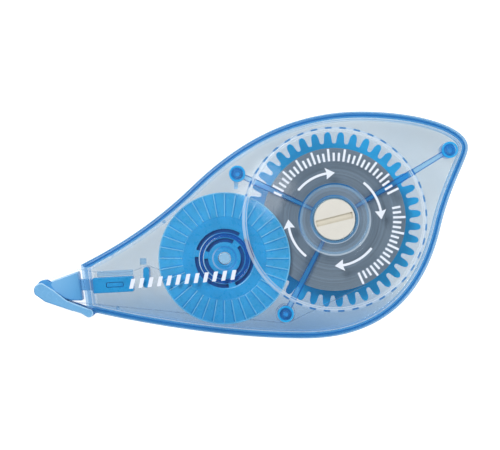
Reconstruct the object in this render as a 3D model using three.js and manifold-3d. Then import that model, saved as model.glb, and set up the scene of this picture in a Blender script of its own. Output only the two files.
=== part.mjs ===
// Correction tape roller, lying on its rear cover with the front cover up.
// Millimetres, +Z up. The origin is on the supply spool's axis, on the rear cover's outer face.
// The tail points along +X and the applicator nose along -X.

import * as THREE from 'three';
import { mergeVertices } from 'three/addons/utils/BufferGeometryUtils.js';
import Module from 'manifold-3d';

const wasm = await Module();
wasm.setup();

// ---------------------------------------------------------------- driving dimensions

const TAPE_WIDTH = 5;
const TAPE_THICKNESS = 0.15;
const GAP = 0.3; // between pieces that touch or pass each other
const OVERLAP = 0.4; // how far a joined solid reaches into its neighbour
const PIN_CLEARANCE = 0.15; // between a pin and its bore, all round
const PAST = 1; // how far a cutter reaches past the faces it cuts

// Heights of the layers above the face that the roller lies on
const FLOOR_TOP = 1.3;
const GEAR_BOTTOM = 2;
const GEAR_TOP = 3.8;
const TAPE_BOTTOM = 4.1;
const TAPE_TOP = TAPE_BOTTOM + TAPE_WIDTH;
const PARTING = 6;
const PARTING_GAP = 0.2;
const REEL_FLANGE_BOTTOM = 9.5;
const REEL_FLANGE_TOP = 10.5;
const LID_BOTTOM = 10.9;
const LID_TOP = 12.1;
const WINDOW_BOTTOM = 11.8;
const WINDOW_TOP = 13;
const DISH_BOTTOM = 11;
const DISH_TOP = 12.2;

// Case outline: each knot has a place, the heading of the edge there in degrees, and the lengths
// of the curve handles before and after it. The edge runs clockwise from the top of the nose.
const OUTLINE = [
  { at: [-62.8, -11], heading: 27, after: 11 },
  { at: [-35.5, 8.3], heading: 44, before: 13, after: 15 },
  { at: [6.5, 26.9], heading: 0, before: 18, after: 14.5 },
  { at: [33.2, 17.2], heading: -102, before: 6, after: 3 },
  { at: [26.4, -2], heading: -103, before: 10, after: 18 },
  { at: [-7.5, -29.7], heading: 180, before: 19, after: 18 },
  { at: [-60.3, -22.8], heading: 167, before: 16 },
];
const OUTLINE_STEPS = 9; // per curve
const WALL = 1.4;
const NOSE_WALL = 2.2;
const MOUTH = { x: [-66, -57], y: [-21.7, -12], z: [3, 10.2] };

// Inside the rear cover
const SUPPLY_PAD_RADIUS = 4.6;
const TAKEUP_PAD_RADIUS = 3.2;
const SUPPLY_PIN_TOP = 8.3;
const TAKEUP_PIN_TOP = 10.2;
const PEG_TOP = 10.8;
const BLOCK_PADS = { starts: [0.5, 8.2], length: 1.2 };
const SOCKET = { x: [-48.8, -45.3], y: [-18.1, -10.9], top: 3.2, wall: 0.7 };

// Inside the front cover
const WINDOW_RADIUS = 23.1;
const WINDOW_WALL = 1.2;
const DISH_RADIUS = 9;
const DISH_FLOOR_RADIUS = 10;
const BOSS_RADIUS = 6.1;
const BOSS_BORE_RADIUS = 5.3;
const INNER_RIB_WIDTH = 0.5;
const RIB_WIDTH = 1.1;
const RIB_TOP = 12;
const OUTER_RIB_BOTTOM = 10.2;
const KEEPER = { x: [-48.6, -47], y: [-11.3, -9.7], bottom: 9.5 };
const SIDE_RIB = { x: [-25.1, -24.1], y: [7.6, 10], bottom: 9.6 };

// Supply spool
const SUPPLY_PIN_RADIUS = 2;
const GEAR_HUB_RADIUS = 3.4;
const GEAR_HUB_TOP = 8.6;
const GEAR_RECESS = { outer: 18.6, inner: 5.2, depth: 0.8 };
const GEAR_SPOKES = { count: 6, from: 5, to: 18.8, width: 1, height: 1, first: 30 };
const CORE_BORE_RADIUS = 4.4;
const CORE_BARREL_RADIUS = 5.3;
const CORE_JOURNAL_RADIUS = 5.15;
const CORE_SHOULDER = 0.1; // how far the barrel stands above the roll
const CORE_TOP = 12;
const COIN_SLOT = { length: 8, width: 1.75, depth: 1.2, angle: 14 };
const ROLL_RADIUS = 17.9;
const CLUTCH = { section: 0.36, sides: 6, height: 6.2 };

// Gear pair
const MODULE = 1.06;
const PRESSURE_ANGLE = 25;
const ADDENDUM = 0.95; // in modules
const DEDENDUM = 1.25; // in modules
const BACKLASH = 0.3;
const SUPPLY_TEETH = 40;
const TAKEUP_TEETH = 15;
const SUPPLY_PHASE = 4.1; // angle of one tooth of the supply gear, degrees
const TAKEUP_ANGLE = 199.5; // direction from the supply axis to the take-up axis, degrees

// Take-up reel
const TAKEUP_PIN_RADIUS = 1.45;
const TAKEUP_BORE_RADIUS = 1.6;
const TAKEUP_HUB_RADIUS = 6.8;
const TAKEUP_SLEEVE_INNER = 5.7;
const TAKEUP_BOSS_RADIUS = 3;
const WINDING_RADIUS = 7.4;
const REEL_FLANGE_RADIUS = 16.5;
const REEL_RIM_STEP = 0.25; // how far the plate lies below the ribs' tops
const REEL_RIBS = { count: 36, from: 10.5, to: 16.3, width: 0.4 };
const REEL_SLOTS = [
  { outer: 7.5, inner: 6.5 },
  { outer: 5.1, inner: 4 },
];
const REEL_SPOKES = { angles: [51, 170, 286], from: 3, to: 8, width: 1.6 };

// Posts that join the two covers
const POST_RADIUS = 2.05;
const POST_BORE = 1;
const PEG_RADIUS = 0.75;
const POSTS = [
  [-24.3, 11.4],
  [28.7, 17.35],
  [-12.2, -23.6],
];

// Applicator head, roller and swing cap
const HEAD_BOTTOM = 3.3;
const HEAD_TOP = 9.9;
const ROLLER_CENTRE = [-72.6, -16.9];
const ROLLER_RADIUS = 1.25;
const ROLLER_PIN_RADIUS = 0.5;
const ROLLER_EYE_RADIUS = 1.1;
const FORK_THICKNESS = 0.5;
const WEDGE = [
  [-70.9, -15.6],
  [-71.3, -16.5],
  [-69.7, -17.6],
  [-67.1, -19.7],
  [-65.8, -20.3],
  [-62.9, -20.3],
  [-64, -12.9],
];
const FORK_ROOT = { x: -68, y: [-17.6, -15.4] };
const STEM = { x: [-65, -59], y: [-17.8, -15], z: [4.4, 8.8] };
const CAP_HINGE = [-61.3, -23.4];
const CAP_TIP = { at: [-73.2, -17.75], radius: 1.85, from: 80, webFrom: 150, to: 215 };
const CAP_INNER_EDGE = [
  [-66.75, -20.3],
  [-70.2, -17.6],
];
const CAP_OUTER_EDGE = [
  [-72.3, -20.55],
  [-67.1, -22.3],
  [-63.2, -23.5],
];
const CAP_WEB = { thickness: 0.6, end: [-65.3, -22.9] };
const CAP_LEAVES = [
  [2, 3],
  [10.2, 11.2],
];
const KNUCKLE_RADIUS = 1.1;
const CAP_PIN_RADIUS = 0.5;
const CAP_PIN_DEPTH = 1.6;
const LUG_GAP = 0.4; // between the lug and each leaf of the cap
const LUG_NECK = { length: 2.6, width: 1.1, angle: 15 };
const BLOCK_START = [-60.1, -16.6];
const BLOCK_TILT = 3; // degrees
const BLOCK_HALF_WIDTH = 1.95;
const BLOCK_SPAN = [-0.3, 9.8]; // along the block from its start
const KEY = { from: 3.3, to: 7.1, halfWidth: 0.4, top: 9, sideGap: 0.25 };
const GUIDE_POST = { x: -47.05, top: -11.9, bottom: -17.1, width: 1.5 };

// The tape's way between its turning points
const BEND_GAP = 0.2; // between the tape and the roller or guide it bends round
const HEEL = [-65.8, -20.75];
const SHOULDER = [-64.1, -12.5];
const PAST_BLOCK = [
  [-60, -13.2],
  [-55, -13.5],
  [-50.5, -13],
];
const BEND_ENDS = { roller: 176, guide: 120 }; // where its arcs round them begin or end, degrees

// Sides of the polygons that stand for circles
const LARGE_ROUND = 60;
const ROUND = 36;
const SMALL_ROUND = 14;

// ---------------------------------------------------------------- helpers

const radians = THREE.MathUtils.degToRad;
const point = (x, y) => new THREE.Vector2(x, y);
const polar = (radius, degrees, x = 0, y = 0) =>
  point(x + radius * Math.cos(radians(degrees)), y + radius * Math.sin(radians(degrees)));

const takeupAxis = polar((MODULE * (SUPPLY_TEETH + TAKEUP_TEETH)) / 2, TAKEUP_ANGLE);

function arc(centre, radius, fromDegrees, toDegrees, steps) {
  return Array.from({ length: steps + 1 }, (_, i) =>
    polar(radius, fromDegrees + ((toDegrees - fromDegrees) * i) / steps, centre.x, centre.y));
}

function circle(radius, sides, centre = point(0, 0)) {
  return arc(centre, radius, 0, 360, sides).slice(0, sides);
}

function solid(geometry) {
  const bare = geometry.clone();
  bare.deleteAttribute('normal');
  bare.deleteAttribute('uv');
  const merged = mergeVertices(bare, 1e-4);
  return new wasm.Manifold(new wasm.Mesh({
    numProp: 3,
    vertProperties: new Float32Array(merged.attributes.position.array),
    triVerts: new Uint32Array(merged.index.array),
  }));
}

function prism(points, bottom, top, hole = null) {
  const shape = new THREE.Shape(points);
  if (hole) shape.holes.push(new THREE.Path(hole));
  const geometry = new THREE.ExtrudeGeometry(shape, { depth: top - bottom, bevelEnabled: false });
  return solid(geometry.translate(0, 0, bottom));
}

function disc(radius, bottom, top, centre = point(0, 0), sides = ROUND) {
  return prism(circle(radius, sides, centre), bottom, top);
}

function tube(outer, inner, bottom, top, centre = point(0, 0), sides = ROUND) {
  return prism(circle(outer, sides, centre), bottom, top, circle(inner, sides, centre));
}

function box([x0, x1], [y0, y1], bottom, top) {
  return prism([point(x0, y0), point(x1, y0), point(x1, y1), point(x0, y1)], bottom, top);
}

// A span made shorter at both ends
const shrunk = ([low, high], by) => [low + by, high - by];

const toPoints = (pairs) => pairs.map((pair) => point(...pair));

// A bar of the given width from one radius to another, along a direction from the centre
function spoke(from, to, width, degrees, bottom, top, centre = point(0, 0)) {
  const geometry = new THREE.BoxGeometry(to - from, width, top - bottom);
  geometry.translate((from + to) / 2, 0, (bottom + top) / 2);
  geometry.rotateZ(radians(degrees));
  return solid(geometry.translate(centre.x, centre.y, 0));
}

// A bar along the tilted block of the applicator head, measured from the block's outer end
function tiltedBox(from, to, halfWidth, bottom, top) {
  return spoke(from, to, 2 * halfWidth, BLOCK_TILT, bottom, top, point(...BLOCK_START));
}

// A line of points moved sideways: to the right of its heading for a positive distance
function sideways(points, distance, closed) {
  const count = points.length;
  return points.map((here, i) => {
    const before = closed || i > 0 ? points[(i + count - 1) % count] : null;
    const after = closed || i < count - 1 ? points[(i + 1) % count] : null;
    const into = before ? here.clone().sub(before).normalize() : null;
    const out = after ? after.clone().sub(here).normalize() : null;
    const first = into ?? out;
    const mean = first.clone().add(out ?? into).normalize();
    const stretch = distance / mean.dot(first);
    return point(here.x + mean.y * stretch, here.y - mean.x * stretch);
  });
}

// The tape's own section along a path, on edge between the tape's two heights
function tapeRun(path) {
  const left = sideways(path, -TAPE_THICKNESS / 2, false);
  const right = sideways(path, TAPE_THICKNESS / 2, false);
  return prism([...left, ...right.reverse()], TAPE_BOTTOM, TAPE_TOP);
}

// The heading of a belt that leaves one circle and meets another, with both on its right
// (the side is 1) or with the second on its left (the side is -1)
function beltHeading(from, fromRadius, to, toRadius, side) {
  const span = to.clone().sub(from);
  const turn = Math.asin((fromRadius - side * toRadius) / span.length());
  return THREE.MathUtils.radToDeg(span.angle() - turn);
}

// ---------------------------------------------------------------- case

function caseOutline() {
  const path = new THREE.Path();
  path.moveTo(...OUTLINE[0].at);
  for (let i = 1; i < OUTLINE.length; i += 1) {
    const start = OUTLINE[i - 1];
    const end = OUTLINE[i];
    const leave = polar(start.after, start.heading, ...start.at);
    const arrive = polar(end.before, end.heading + 180, ...end.at);
    path.bezierCurveTo(leave.x, leave.y, arrive.x, arrive.y, ...end.at);
  }
  return path.getPoints(OUTLINE_STEPS);
}

const outline = caseOutline();
const cavity = sideways(outline, WALL, true);
const hinge = point(...CAP_HINGE);
const roller = point(...ROLLER_CENTRE);
const noseTop = point(...OUTLINE[0].at);
const noseBottom = point(...OUTLINE.at(-1).at);

// The wall that goes round the case, thicker across the nose
function caseWall(bottom, top) {
  const margin = 2 * PAST;
  const noseBand = [
    point(noseTop.x - margin, noseTop.y + margin),
    point(noseTop.x + NOSE_WALL, noseTop.y + margin),
    point(noseBottom.x + NOSE_WALL, noseBottom.y - margin),
    point(noseBottom.x - margin, noseBottom.y - margin),
  ];
  const outside = prism(noseBand, bottom - 2 * PAST, top + 2 * PAST);
  const hollow = prism(cavity, bottom - PAST, top + PAST).subtract(outside);
  return prism(outline, bottom, top).subtract(hollow);
}

// The mouth that the head and both tape runs pass through
function noseMouth() {
  return box(MOUTH.x, MOUTH.y, ...MOUTH.z);
}

// Half of the lug that carries the swing cap, with a neck that joins it to the nose
function capLug(bottom, top) {
  const neck = spoke(0, LUG_NECK.length, LUG_NECK.width, LUG_NECK.angle, bottom, top, hinge);
  const knuckle = disc(KNUCKLE_RADIUS, bottom, top, hinge, SMALL_ROUND);
  const bore = disc(CAP_PIN_RADIUS + PIN_CLEARANCE, bottom - PAST, top + PAST, hinge, SMALL_ROUND);
  return knuckle.add(neck).subtract(bore);
}

// Room for the cap's knuckles to turn at the nose's lower corner
function knuckleRoom() {
  return disc(KNUCKLE_RADIUS + GAP, -PAST, WINDOW_TOP, hinge, SMALL_ROUND);
}

function rearCover() {
  const wallTop = PARTING - PARTING_GAP / 2;
  const base = FLOOR_TOP - OVERLAP;
  let cover = prism(outline, 0, FLOOR_TOP).add(caseWall(0, wallTop));
  cover = cover.add(disc(SUPPLY_PIN_RADIUS, base, SUPPLY_PIN_TOP));
  cover = cover.add(disc(SUPPLY_PAD_RADIUS, base, GEAR_BOTTOM - GAP));
  cover = cover.add(disc(TAKEUP_PIN_RADIUS, base, TAKEUP_PIN_TOP, takeupAxis, SMALL_ROUND));
  cover = cover.add(disc(TAKEUP_PAD_RADIUS, base, GEAR_BOTTOM - GAP, takeupAxis));
  for (const post of toPoints(POSTS)) {
    cover = cover.add(disc(POST_RADIUS, base, wallTop, post, SMALL_ROUND));
    cover = cover.add(disc(PEG_RADIUS, wallTop - OVERLAP, PEG_TOP, post, SMALL_ROUND));
  }
  // a key that the head's slot drops over, and two pads that the head's block stands on
  cover = cover.add(tiltedBox(KEY.from, KEY.to, KEY.halfWidth, base, KEY.top));
  for (const from of BLOCK_PADS.starts) {
    cover = cover.add(tiltedBox(from, from + BLOCK_PADS.length, BLOCK_HALF_WIDTH, base, HEAD_BOTTOM));
  }
  // a socket round the foot of the guide post
  const socket = box(SOCKET.x, SOCKET.y, base, SOCKET.top);
  const pocketX = shrunk(SOCKET.x, SOCKET.wall);
  const pocketY = shrunk(SOCKET.y, SOCKET.wall);
  cover = cover.add(socket.subtract(box(pocketX, pocketY, FLOOR_TOP, SOCKET.top + PAST)));
  cover = cover.subtract(noseMouth()).subtract(knuckleRoom());
  return cover.add(capLug(CAP_LEAVES[0][1] + LUG_GAP, wallTop));
}

function frontCover() {
  const wallBottom = PARTING + PARTING_GAP / 2;
  const lid = prism(outline, LID_BOTTOM, LID_TOP).add(caseWall(wallBottom, LID_TOP));
  const windowDrum = disc(WINDOW_RADIUS, LID_BOTTOM, WINDOW_TOP, point(0, 0), LARGE_ROUND);
  const underWindow = disc(WINDOW_RADIUS - WINDOW_WALL, 0, WINDOW_BOTTOM, point(0, 0), LARGE_ROUND);
  let cover = lid.add(windowDrum).subtract(underWindow);
  cover = cover.add(disc(DISH_FLOOR_RADIUS, DISH_BOTTOM, WINDOW_BOTTOM + OVERLAP));
  cover = cover.subtract(disc(DISH_RADIUS, DISH_TOP, WINDOW_TOP + PAST));
  cover = cover.add(disc(BOSS_RADIUS, TAPE_TOP + GAP, DISH_BOTTOM + OVERLAP));
  const innerEnd = BOSS_RADIUS - OVERLAP;
  const rim = WINDOW_RADIUS - OVERLAP;
  const ribEnd = LID_BOTTOM + OVERLAP;
  for (const post of toPoints(POSTS)) {
    const direction = THREE.MathUtils.radToDeg(post.angle());
    cover = cover.add(spoke(innerEnd, DISH_RADIUS, INNER_RIB_WIDTH, direction, REEL_FLANGE_BOTTOM, RIB_TOP));
    cover = cover.add(spoke(DISH_RADIUS, rim, RIB_WIDTH, direction, REEL_FLANGE_BOTTOM, RIB_TOP));
    cover = cover.add(spoke(rim, post.length(), RIB_WIDTH, direction, OUTER_RIB_BOTTOM, ribEnd));
    cover = cover.add(disc(POST_RADIUS, wallBottom + PARTING_GAP / 2, LID_TOP, post, ROUND / 2));
    cover = cover.subtract(disc(POST_BORE, 0, WINDOW_TOP, post, SMALL_ROUND));
  }
  // a rib that keeps the tape down on the guide post, and one beside the upper post
  for (const block of [KEEPER, SIDE_RIB]) {
    cover = cover.add(box(block.x, block.y, block.bottom, ribEnd));
  }
  cover = cover.subtract(disc(BOSS_BORE_RADIUS, 0, WINDOW_TOP + PAST));
  cover = cover.subtract(noseMouth()).subtract(knuckleRoom());
  return cover.add(capLug(wallBottom, CAP_LEAVES[1][0] - LUG_GAP));
}

// ---------------------------------------------------------------- gears and reels

// An involute gear's outline about its own centre, with one tooth centred on the given angle
function gearOutline(teeth, phase) {
  const pitch = (MODULE * teeth) / 2;
  const base = pitch * Math.cos(radians(PRESSURE_ANGLE));
  const tip = pitch + ADDENDUM * MODULE;
  const root = pitch - DEDENDUM * MODULE;
  const involute = (radius) => {
    const angle = Math.acos(Math.min(1, base / radius));
    return Math.tan(angle) - angle;
  };
  const halfAtPitch = (Math.PI * MODULE) / 4 - BACKLASH / 4;
  const halfAngle = (radius) => halfAtPitch / pitch + involute(pitch) - involute(Math.max(radius, base));
  const radii = root < base ? [root, base, pitch, tip] : [root, pitch, tip];
  const loop = [];
  for (let tooth = 0; tooth < teeth; tooth += 1) {
    const centre = phase + (360 * tooth) / teeth;
    for (const side of [-1, 1]) {
      const ordered = side < 0 ? radii : [...radii].reverse();
      for (const radius of ordered) {
        loop.push(polar(radius, centre + side * THREE.MathUtils.radToDeg(halfAngle(radius))));
      }
    }
  }
  return loop;
}

function moved(loop, centre) {
  return loop.map((p) => point(p.x + centre.x, p.y + centre.y));
}

function supplyGear() {
  const teeth = prism(gearOutline(SUPPLY_TEETH, SUPPLY_PHASE), GEAR_BOTTOM, GEAR_TOP);
  const recessTop = GEAR_BOTTOM + GEAR_RECESS.depth;
  let gear = teeth.subtract(tube(GEAR_RECESS.outer, GEAR_RECESS.inner, GEAR_BOTTOM - PAST, recessTop));
  for (let i = 0; i < GEAR_SPOKES.count; i += 1) {
    const angle = GEAR_SPOKES.first + (360 * i) / GEAR_SPOKES.count;
    const top = GEAR_BOTTOM + GEAR_SPOKES.height;
    gear = gear.add(spoke(GEAR_SPOKES.from, GEAR_SPOKES.to, GEAR_SPOKES.width, angle, GEAR_BOTTOM, top));
  }
  gear = gear.add(disc(GEAR_HUB_RADIUS, GEAR_BOTTOM, GEAR_HUB_TOP));
  return gear.subtract(disc(SUPPLY_PIN_RADIUS + PIN_CLEARANCE, 0, GEAR_HUB_TOP + PAST));
}

function tapeCore() {
  const barrel = disc(CORE_BARREL_RADIUS, TAPE_BOTTOM, TAPE_TOP + CORE_SHOULDER);
  const journal = disc(CORE_JOURNAL_RADIUS, TAPE_TOP - OVERLAP, CORE_TOP);
  const bore = disc(CORE_BORE_RADIUS, 0, TAPE_TOP);
  const half = COIN_SLOT.length / 2;
  const slotBottom = CORE_TOP - COIN_SLOT.depth;
  const slot = spoke(-half, half, COIN_SLOT.width, COIN_SLOT.angle, slotBottom, CORE_TOP + PAST);
  return barrel.add(journal).subtract(bore).subtract(slot);
}

// A round rubber ring squeezed between the gear's hub and the core, which slips when overloaded
function clutchRing() {
  const middle = (GEAR_HUB_RADIUS + CORE_BORE_RADIUS) / 2;
  const section = circle(CLUTCH.section, CLUTCH.sides, point(middle, CLUTCH.height));
  return new THREE.LatheGeometry([...section, section[0]], ROUND).rotateX(Math.PI / 2);
}

function supplyTapeRoll() {
  return tube(ROLL_RADIUS, CORE_BARREL_RADIUS + GAP, TAPE_BOTTOM, TAPE_TOP, point(0, 0), LARGE_ROUND);
}

// A gap of the pinion faces the supply gear's tooth on the line between the two axes
function takeupPhase() {
  const supplyPitch = 360 / SUPPLY_TEETH;
  const takeupPitch = 360 / TAKEUP_TEETH;
  const share = (TAKEUP_ANGLE - SUPPLY_PHASE) / supplyPitch;
  return TAKEUP_ANGLE + 180 + (share + 0.5) * takeupPitch;
}

function takeupHub() {
  const top = REEL_FLANGE_BOTTOM - GAP;
  const pinion = moved(gearOutline(TAKEUP_TEETH, takeupPhase()), takeupAxis);
  let hub = prism(pinion, GEAR_BOTTOM, GEAR_TOP);
  hub = hub.add(tube(TAKEUP_HUB_RADIUS, TAKEUP_SLEEVE_INNER, GEAR_TOP - 2 * OVERLAP, top, takeupAxis));
  hub = hub.add(disc(TAKEUP_BOSS_RADIUS, GEAR_BOTTOM, top, takeupAxis));
  return hub.subtract(disc(TAKEUP_BORE_RADIUS, 0, top + PAST, takeupAxis, ROUND / 2));
}

function takeupWinding() {
  const inner = TAKEUP_HUB_RADIUS + PIN_CLEARANCE;
  return tube(WINDING_RADIUS, inner, TAPE_BOTTOM, TAPE_TOP, takeupAxis);
}

function takeupFlange() {
  const plate = REEL_FLANGE_TOP - REEL_RIM_STEP;
  const past = REEL_FLANGE_TOP + PAST;
  let flange = disc(REEL_FLANGE_RADIUS, REEL_FLANGE_BOTTOM, plate, takeupAxis, LARGE_ROUND);
  for (const slot of REEL_SLOTS) {
    flange = flange.subtract(tube(slot.outer, slot.inner, 0, past, takeupAxis));
  }
  for (const angle of REEL_SPOKES.angles) {
    const { from, to, width } = REEL_SPOKES;
    flange = flange.add(spoke(from, to, width, angle, REEL_FLANGE_BOTTOM, plate, takeupAxis));
  }
  for (let i = 0; i < REEL_RIBS.count; i += 1) {
    const { count, from, to, width } = REEL_RIBS;
    const bottom = plate - OVERLAP / 2;
    flange = flange.add(spoke(from, to, width, (360 * i) / count, bottom, REEL_FLANGE_TOP, takeupAxis));
  }
  return flange.subtract(disc(TAKEUP_BORE_RADIUS, 0, past, takeupAxis, ROUND / 2));
}

// ---------------------------------------------------------------- applicator, cap and tape

function applicatorHead() {
  const past = HEAD_TOP + PAST;
  let head = prism(toPoints(WEDGE), HEAD_BOTTOM, HEAD_TOP);
  // fork arms on both sides of the roller, each ending in an eye
  const arm = [
    point(FORK_ROOT.x, FORK_ROOT.y[0]),
    point(FORK_ROOT.x, FORK_ROOT.y[1]),
    point(roller.x, roller.y + ROLLER_EYE_RADIUS),
    point(roller.x, roller.y - ROLLER_EYE_RADIUS),
  ];
  const hole = disc(ROLLER_PIN_RADIUS + PIN_CLEARANCE, 0, past, roller, SMALL_ROUND);
  for (const bottom of [HEAD_BOTTOM, HEAD_TOP - FORK_THICKNESS]) {
    const top = bottom + FORK_THICKNESS;
    const eye = disc(ROLLER_EYE_RADIUS, bottom, top, roller, SMALL_ROUND);
    head = head.add(prism(arm, bottom, top).add(eye).subtract(hole));
  }
  // stem through the nose and the block that the covers hold
  head = head.add(box(STEM.x, STEM.y, ...STEM.z));
  head = head.add(tiltedBox(...BLOCK_SPAN, BLOCK_HALF_WIDTH, HEAD_BOTTOM + GAP, HEAD_TOP));
  return head.subtract(tiltedBox(KEY.from - GAP, KEY.to + GAP, KEY.halfWidth + KEY.sideGap, 0, past));
}

function tipRoller() {
  const barrelBottom = HEAD_BOTTOM + FORK_THICKNESS + GAP;
  const barrelTop = HEAD_TOP - FORK_THICKNESS - GAP;
  const profile = [
    point(0, HEAD_BOTTOM),
    point(ROLLER_PIN_RADIUS, HEAD_BOTTOM),
    point(ROLLER_PIN_RADIUS, barrelBottom),
    point(ROLLER_RADIUS, barrelBottom),
    point(ROLLER_RADIUS, barrelTop),
    point(ROLLER_PIN_RADIUS, barrelTop),
    point(ROLLER_PIN_RADIUS, HEAD_TOP),
    point(0, HEAD_TOP),
  ];
  const geometry = new THREE.LatheGeometry(profile, SMALL_ROUND).rotateX(Math.PI / 2);
  return solid(geometry.translate(roller.x, roller.y, 0));
}

// Two curved leaves joined by a web along their outer edge, with stub pins at the hinge
function swingCap() {
  const tip = point(...CAP_TIP.at);
  const outerEdge = toPoints(CAP_OUTER_EDGE);
  const hingeEnd = arc(hinge, KNUCKLE_RADIUS, -120, 90, 6);
  const tipArc = arc(tip, CAP_TIP.radius, CAP_TIP.from, CAP_TIP.to, 6);
  const leafOutline = [...hingeEnd, ...toPoints(CAP_INNER_EDGE), ...tipArc, ...outerEdge];
  const webArc = arc(tip, CAP_TIP.radius, CAP_TIP.webFrom, CAP_TIP.to, 4);
  const webOuter = [...webArc, ...outerEdge.slice(0, 2), point(...CAP_WEB.end)];
  const web = [...webOuter, ...sideways(webOuter, -CAP_WEB.thickness, false).reverse()];
  const [rear, front] = CAP_LEAVES;
  let cap = prism(web, rear[0], front[1]);
  for (const [bottom, top] of CAP_LEAVES) {
    cap = cap.add(prism(leafOutline, bottom, top));
  }
  const rearPin = disc(CAP_PIN_RADIUS, rear[1] - OVERLAP, rear[1] + CAP_PIN_DEPTH, hinge, SMALL_ROUND);
  const frontPin = disc(CAP_PIN_RADIUS, front[0] - CAP_PIN_DEPTH, front[0] + OVERLAP, hinge, SMALL_ROUND);
  return cap.add(rearPin).add(frontPin);
}

function guidePost() {
  const radius = GUIDE_POST.width / 2;
  const upper = point(GUIDE_POST.x, GUIDE_POST.top - radius);
  const lower = point(GUIDE_POST.x, GUIDE_POST.bottom + radius);
  const section = [...arc(upper, radius, 0, 180, 8), ...arc(lower, radius, 180, 360, 8)];
  return prism(section, FLOOR_TOP + GAP, LID_BOTTOM - GAP);
}

const clearance = GAP + TAPE_THICKNESS / 2;
const rollerBend = ROLLER_RADIUS + BEND_GAP + TAPE_THICKNESS / 2;

// From the roll, under the lower post and the wedge, to the front of the tip roller
function tapeFeedPath() {
  const post = point(...POSTS[2]);
  const rollBend = ROLL_RADIUS + clearance;
  const postBend = POST_RADIUS + clearance;
  const heel = point(...HEEL);
  const leaveRoll = beltHeading(point(0, 0), rollBend, post, postBend, 1);
  const toHeel = beltHeading(post, postBend, heel, 0, 1);
  const toRoller = beltHeading(heel, 0, roller, rollerBend, 1);
  return [
    polar(rollBend, leaveRoll + 90),
    ...arc(post, postBend, leaveRoll + 90 - 360, toHeel + 90 - 360, 4),
    heel,
    ...arc(roller, rollerBend, toRoller + 90 - 360, -BEND_ENDS.roller, 4),
  ];
}

// From the front of the tip roller, over the wedge and the guide post, to the take-up reel
function tapeReturnPath() {
  const shoulder = point(...SHOULDER);
  const guide = point(GUIDE_POST.x, GUIDE_POST.top - GUIDE_POST.width / 2);
  const guideBend = GUIDE_POST.width / 2 + BEND_GAP + TAPE_THICKNESS / 2;
  const reelBend = WINDING_RADIUS + clearance;
  const toShoulder = beltHeading(roller, rollerBend, shoulder, 0, 1);
  const toReel = beltHeading(guide, guideBend, takeupAxis, reelBend, -1);
  return [
    ...arc(roller, rollerBend, BEND_ENDS.roller, toShoulder + 90, 5),
    shoulder,
    ...toPoints(PAST_BLOCK),
    ...arc(guide, guideBend, BEND_ENDS.guide, toReel + 90, 4),
    polar(reelBend, toReel - 90, takeupAxis.x, takeupAxis.y),
  ];
}

// ---------------------------------------------------------------- the group

function toGeometry(shape) {
  if (shape.isBufferGeometry) return shape;
  const mesh = shape.getMesh();
  const geometry = new THREE.BufferGeometry();
  geometry.setAttribute('position', new THREE.BufferAttribute(new Float32Array(mesh.vertProperties), 3));
  geometry.setIndex(new THREE.BufferAttribute(new Uint32Array(mesh.triVerts), 1));
  geometry.computeVertexNormals();
  return geometry;
}

const roll = new THREE.Group();

function add(name, shape, color, roughness, opacity = 1) {
  const material = new THREE.MeshStandardMaterial({ color, roughness, metalness: 0 });
  material.opacity = opacity;
  material.transparent = opacity < 1;
  const mesh = new THREE.Mesh(toGeometry(shape), material);
  mesh.name = name;
  roll.add(mesh);
}

const CLEAR_BLUE = '#8fb8e0';
const MID_BLUE = '#3f97d6';
const LIGHT_BLUE = '#74b4e8';

add('rear_cover', rearCover(), CLEAR_BLUE, 0.12, 0.35);
add('front_cover', frontCover(), CLEAR_BLUE, 0.12, 0.35);
add('supply_gear', supplyGear(), MID_BLUE, 0.35);
add('clutch_ring', clutchRing(), '#30343a', 0.7);
add('tape_core', tapeCore(), '#e8e4d4', 0.4);
add('supply_tape_roll', supplyTapeRoll(), '#78858f', 0.55);
add('takeup_hub', takeupHub(), '#2b5ea8', 0.4);
add('takeup_winding', takeupWinding(), '#9aa7b2', 0.5);
add('takeup_flange', takeupFlange(), MID_BLUE, 0.35);
add('guide_post', guidePost(), MID_BLUE, 0.4);
add('applicator_head', applicatorHead(), LIGHT_BLUE, 0.4);
add('tip_roller', tipRoller(), MID_BLUE, 0.35);
add('swing_cap', swingCap(), LIGHT_BLUE, 0.3);
add('tape_feed_run', tapeRun(tapeFeedPath()), '#e9edf0', 0.6);
add('tape_return_run', tapeRun(tapeReturnPath()), '#9aa7b2', 0.4);

export default roll;
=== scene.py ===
import cmath
import math

import bmesh
import bpy
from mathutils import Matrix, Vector

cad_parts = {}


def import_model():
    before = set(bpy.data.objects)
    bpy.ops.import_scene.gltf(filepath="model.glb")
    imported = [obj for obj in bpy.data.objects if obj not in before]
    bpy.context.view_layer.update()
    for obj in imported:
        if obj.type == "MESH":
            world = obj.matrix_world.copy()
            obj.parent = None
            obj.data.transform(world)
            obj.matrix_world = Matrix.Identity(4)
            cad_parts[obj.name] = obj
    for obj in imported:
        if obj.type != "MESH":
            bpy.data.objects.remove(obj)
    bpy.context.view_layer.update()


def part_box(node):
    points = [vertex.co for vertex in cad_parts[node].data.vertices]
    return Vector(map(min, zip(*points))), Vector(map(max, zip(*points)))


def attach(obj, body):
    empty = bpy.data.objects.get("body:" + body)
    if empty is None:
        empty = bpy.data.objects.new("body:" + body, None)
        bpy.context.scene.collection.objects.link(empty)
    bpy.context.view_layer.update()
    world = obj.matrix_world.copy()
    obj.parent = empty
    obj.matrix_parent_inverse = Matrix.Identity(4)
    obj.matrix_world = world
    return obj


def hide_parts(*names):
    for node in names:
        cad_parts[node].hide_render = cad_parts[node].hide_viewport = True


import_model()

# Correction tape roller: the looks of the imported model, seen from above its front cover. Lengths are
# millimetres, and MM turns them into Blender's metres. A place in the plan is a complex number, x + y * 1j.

MM = 0.001


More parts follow.
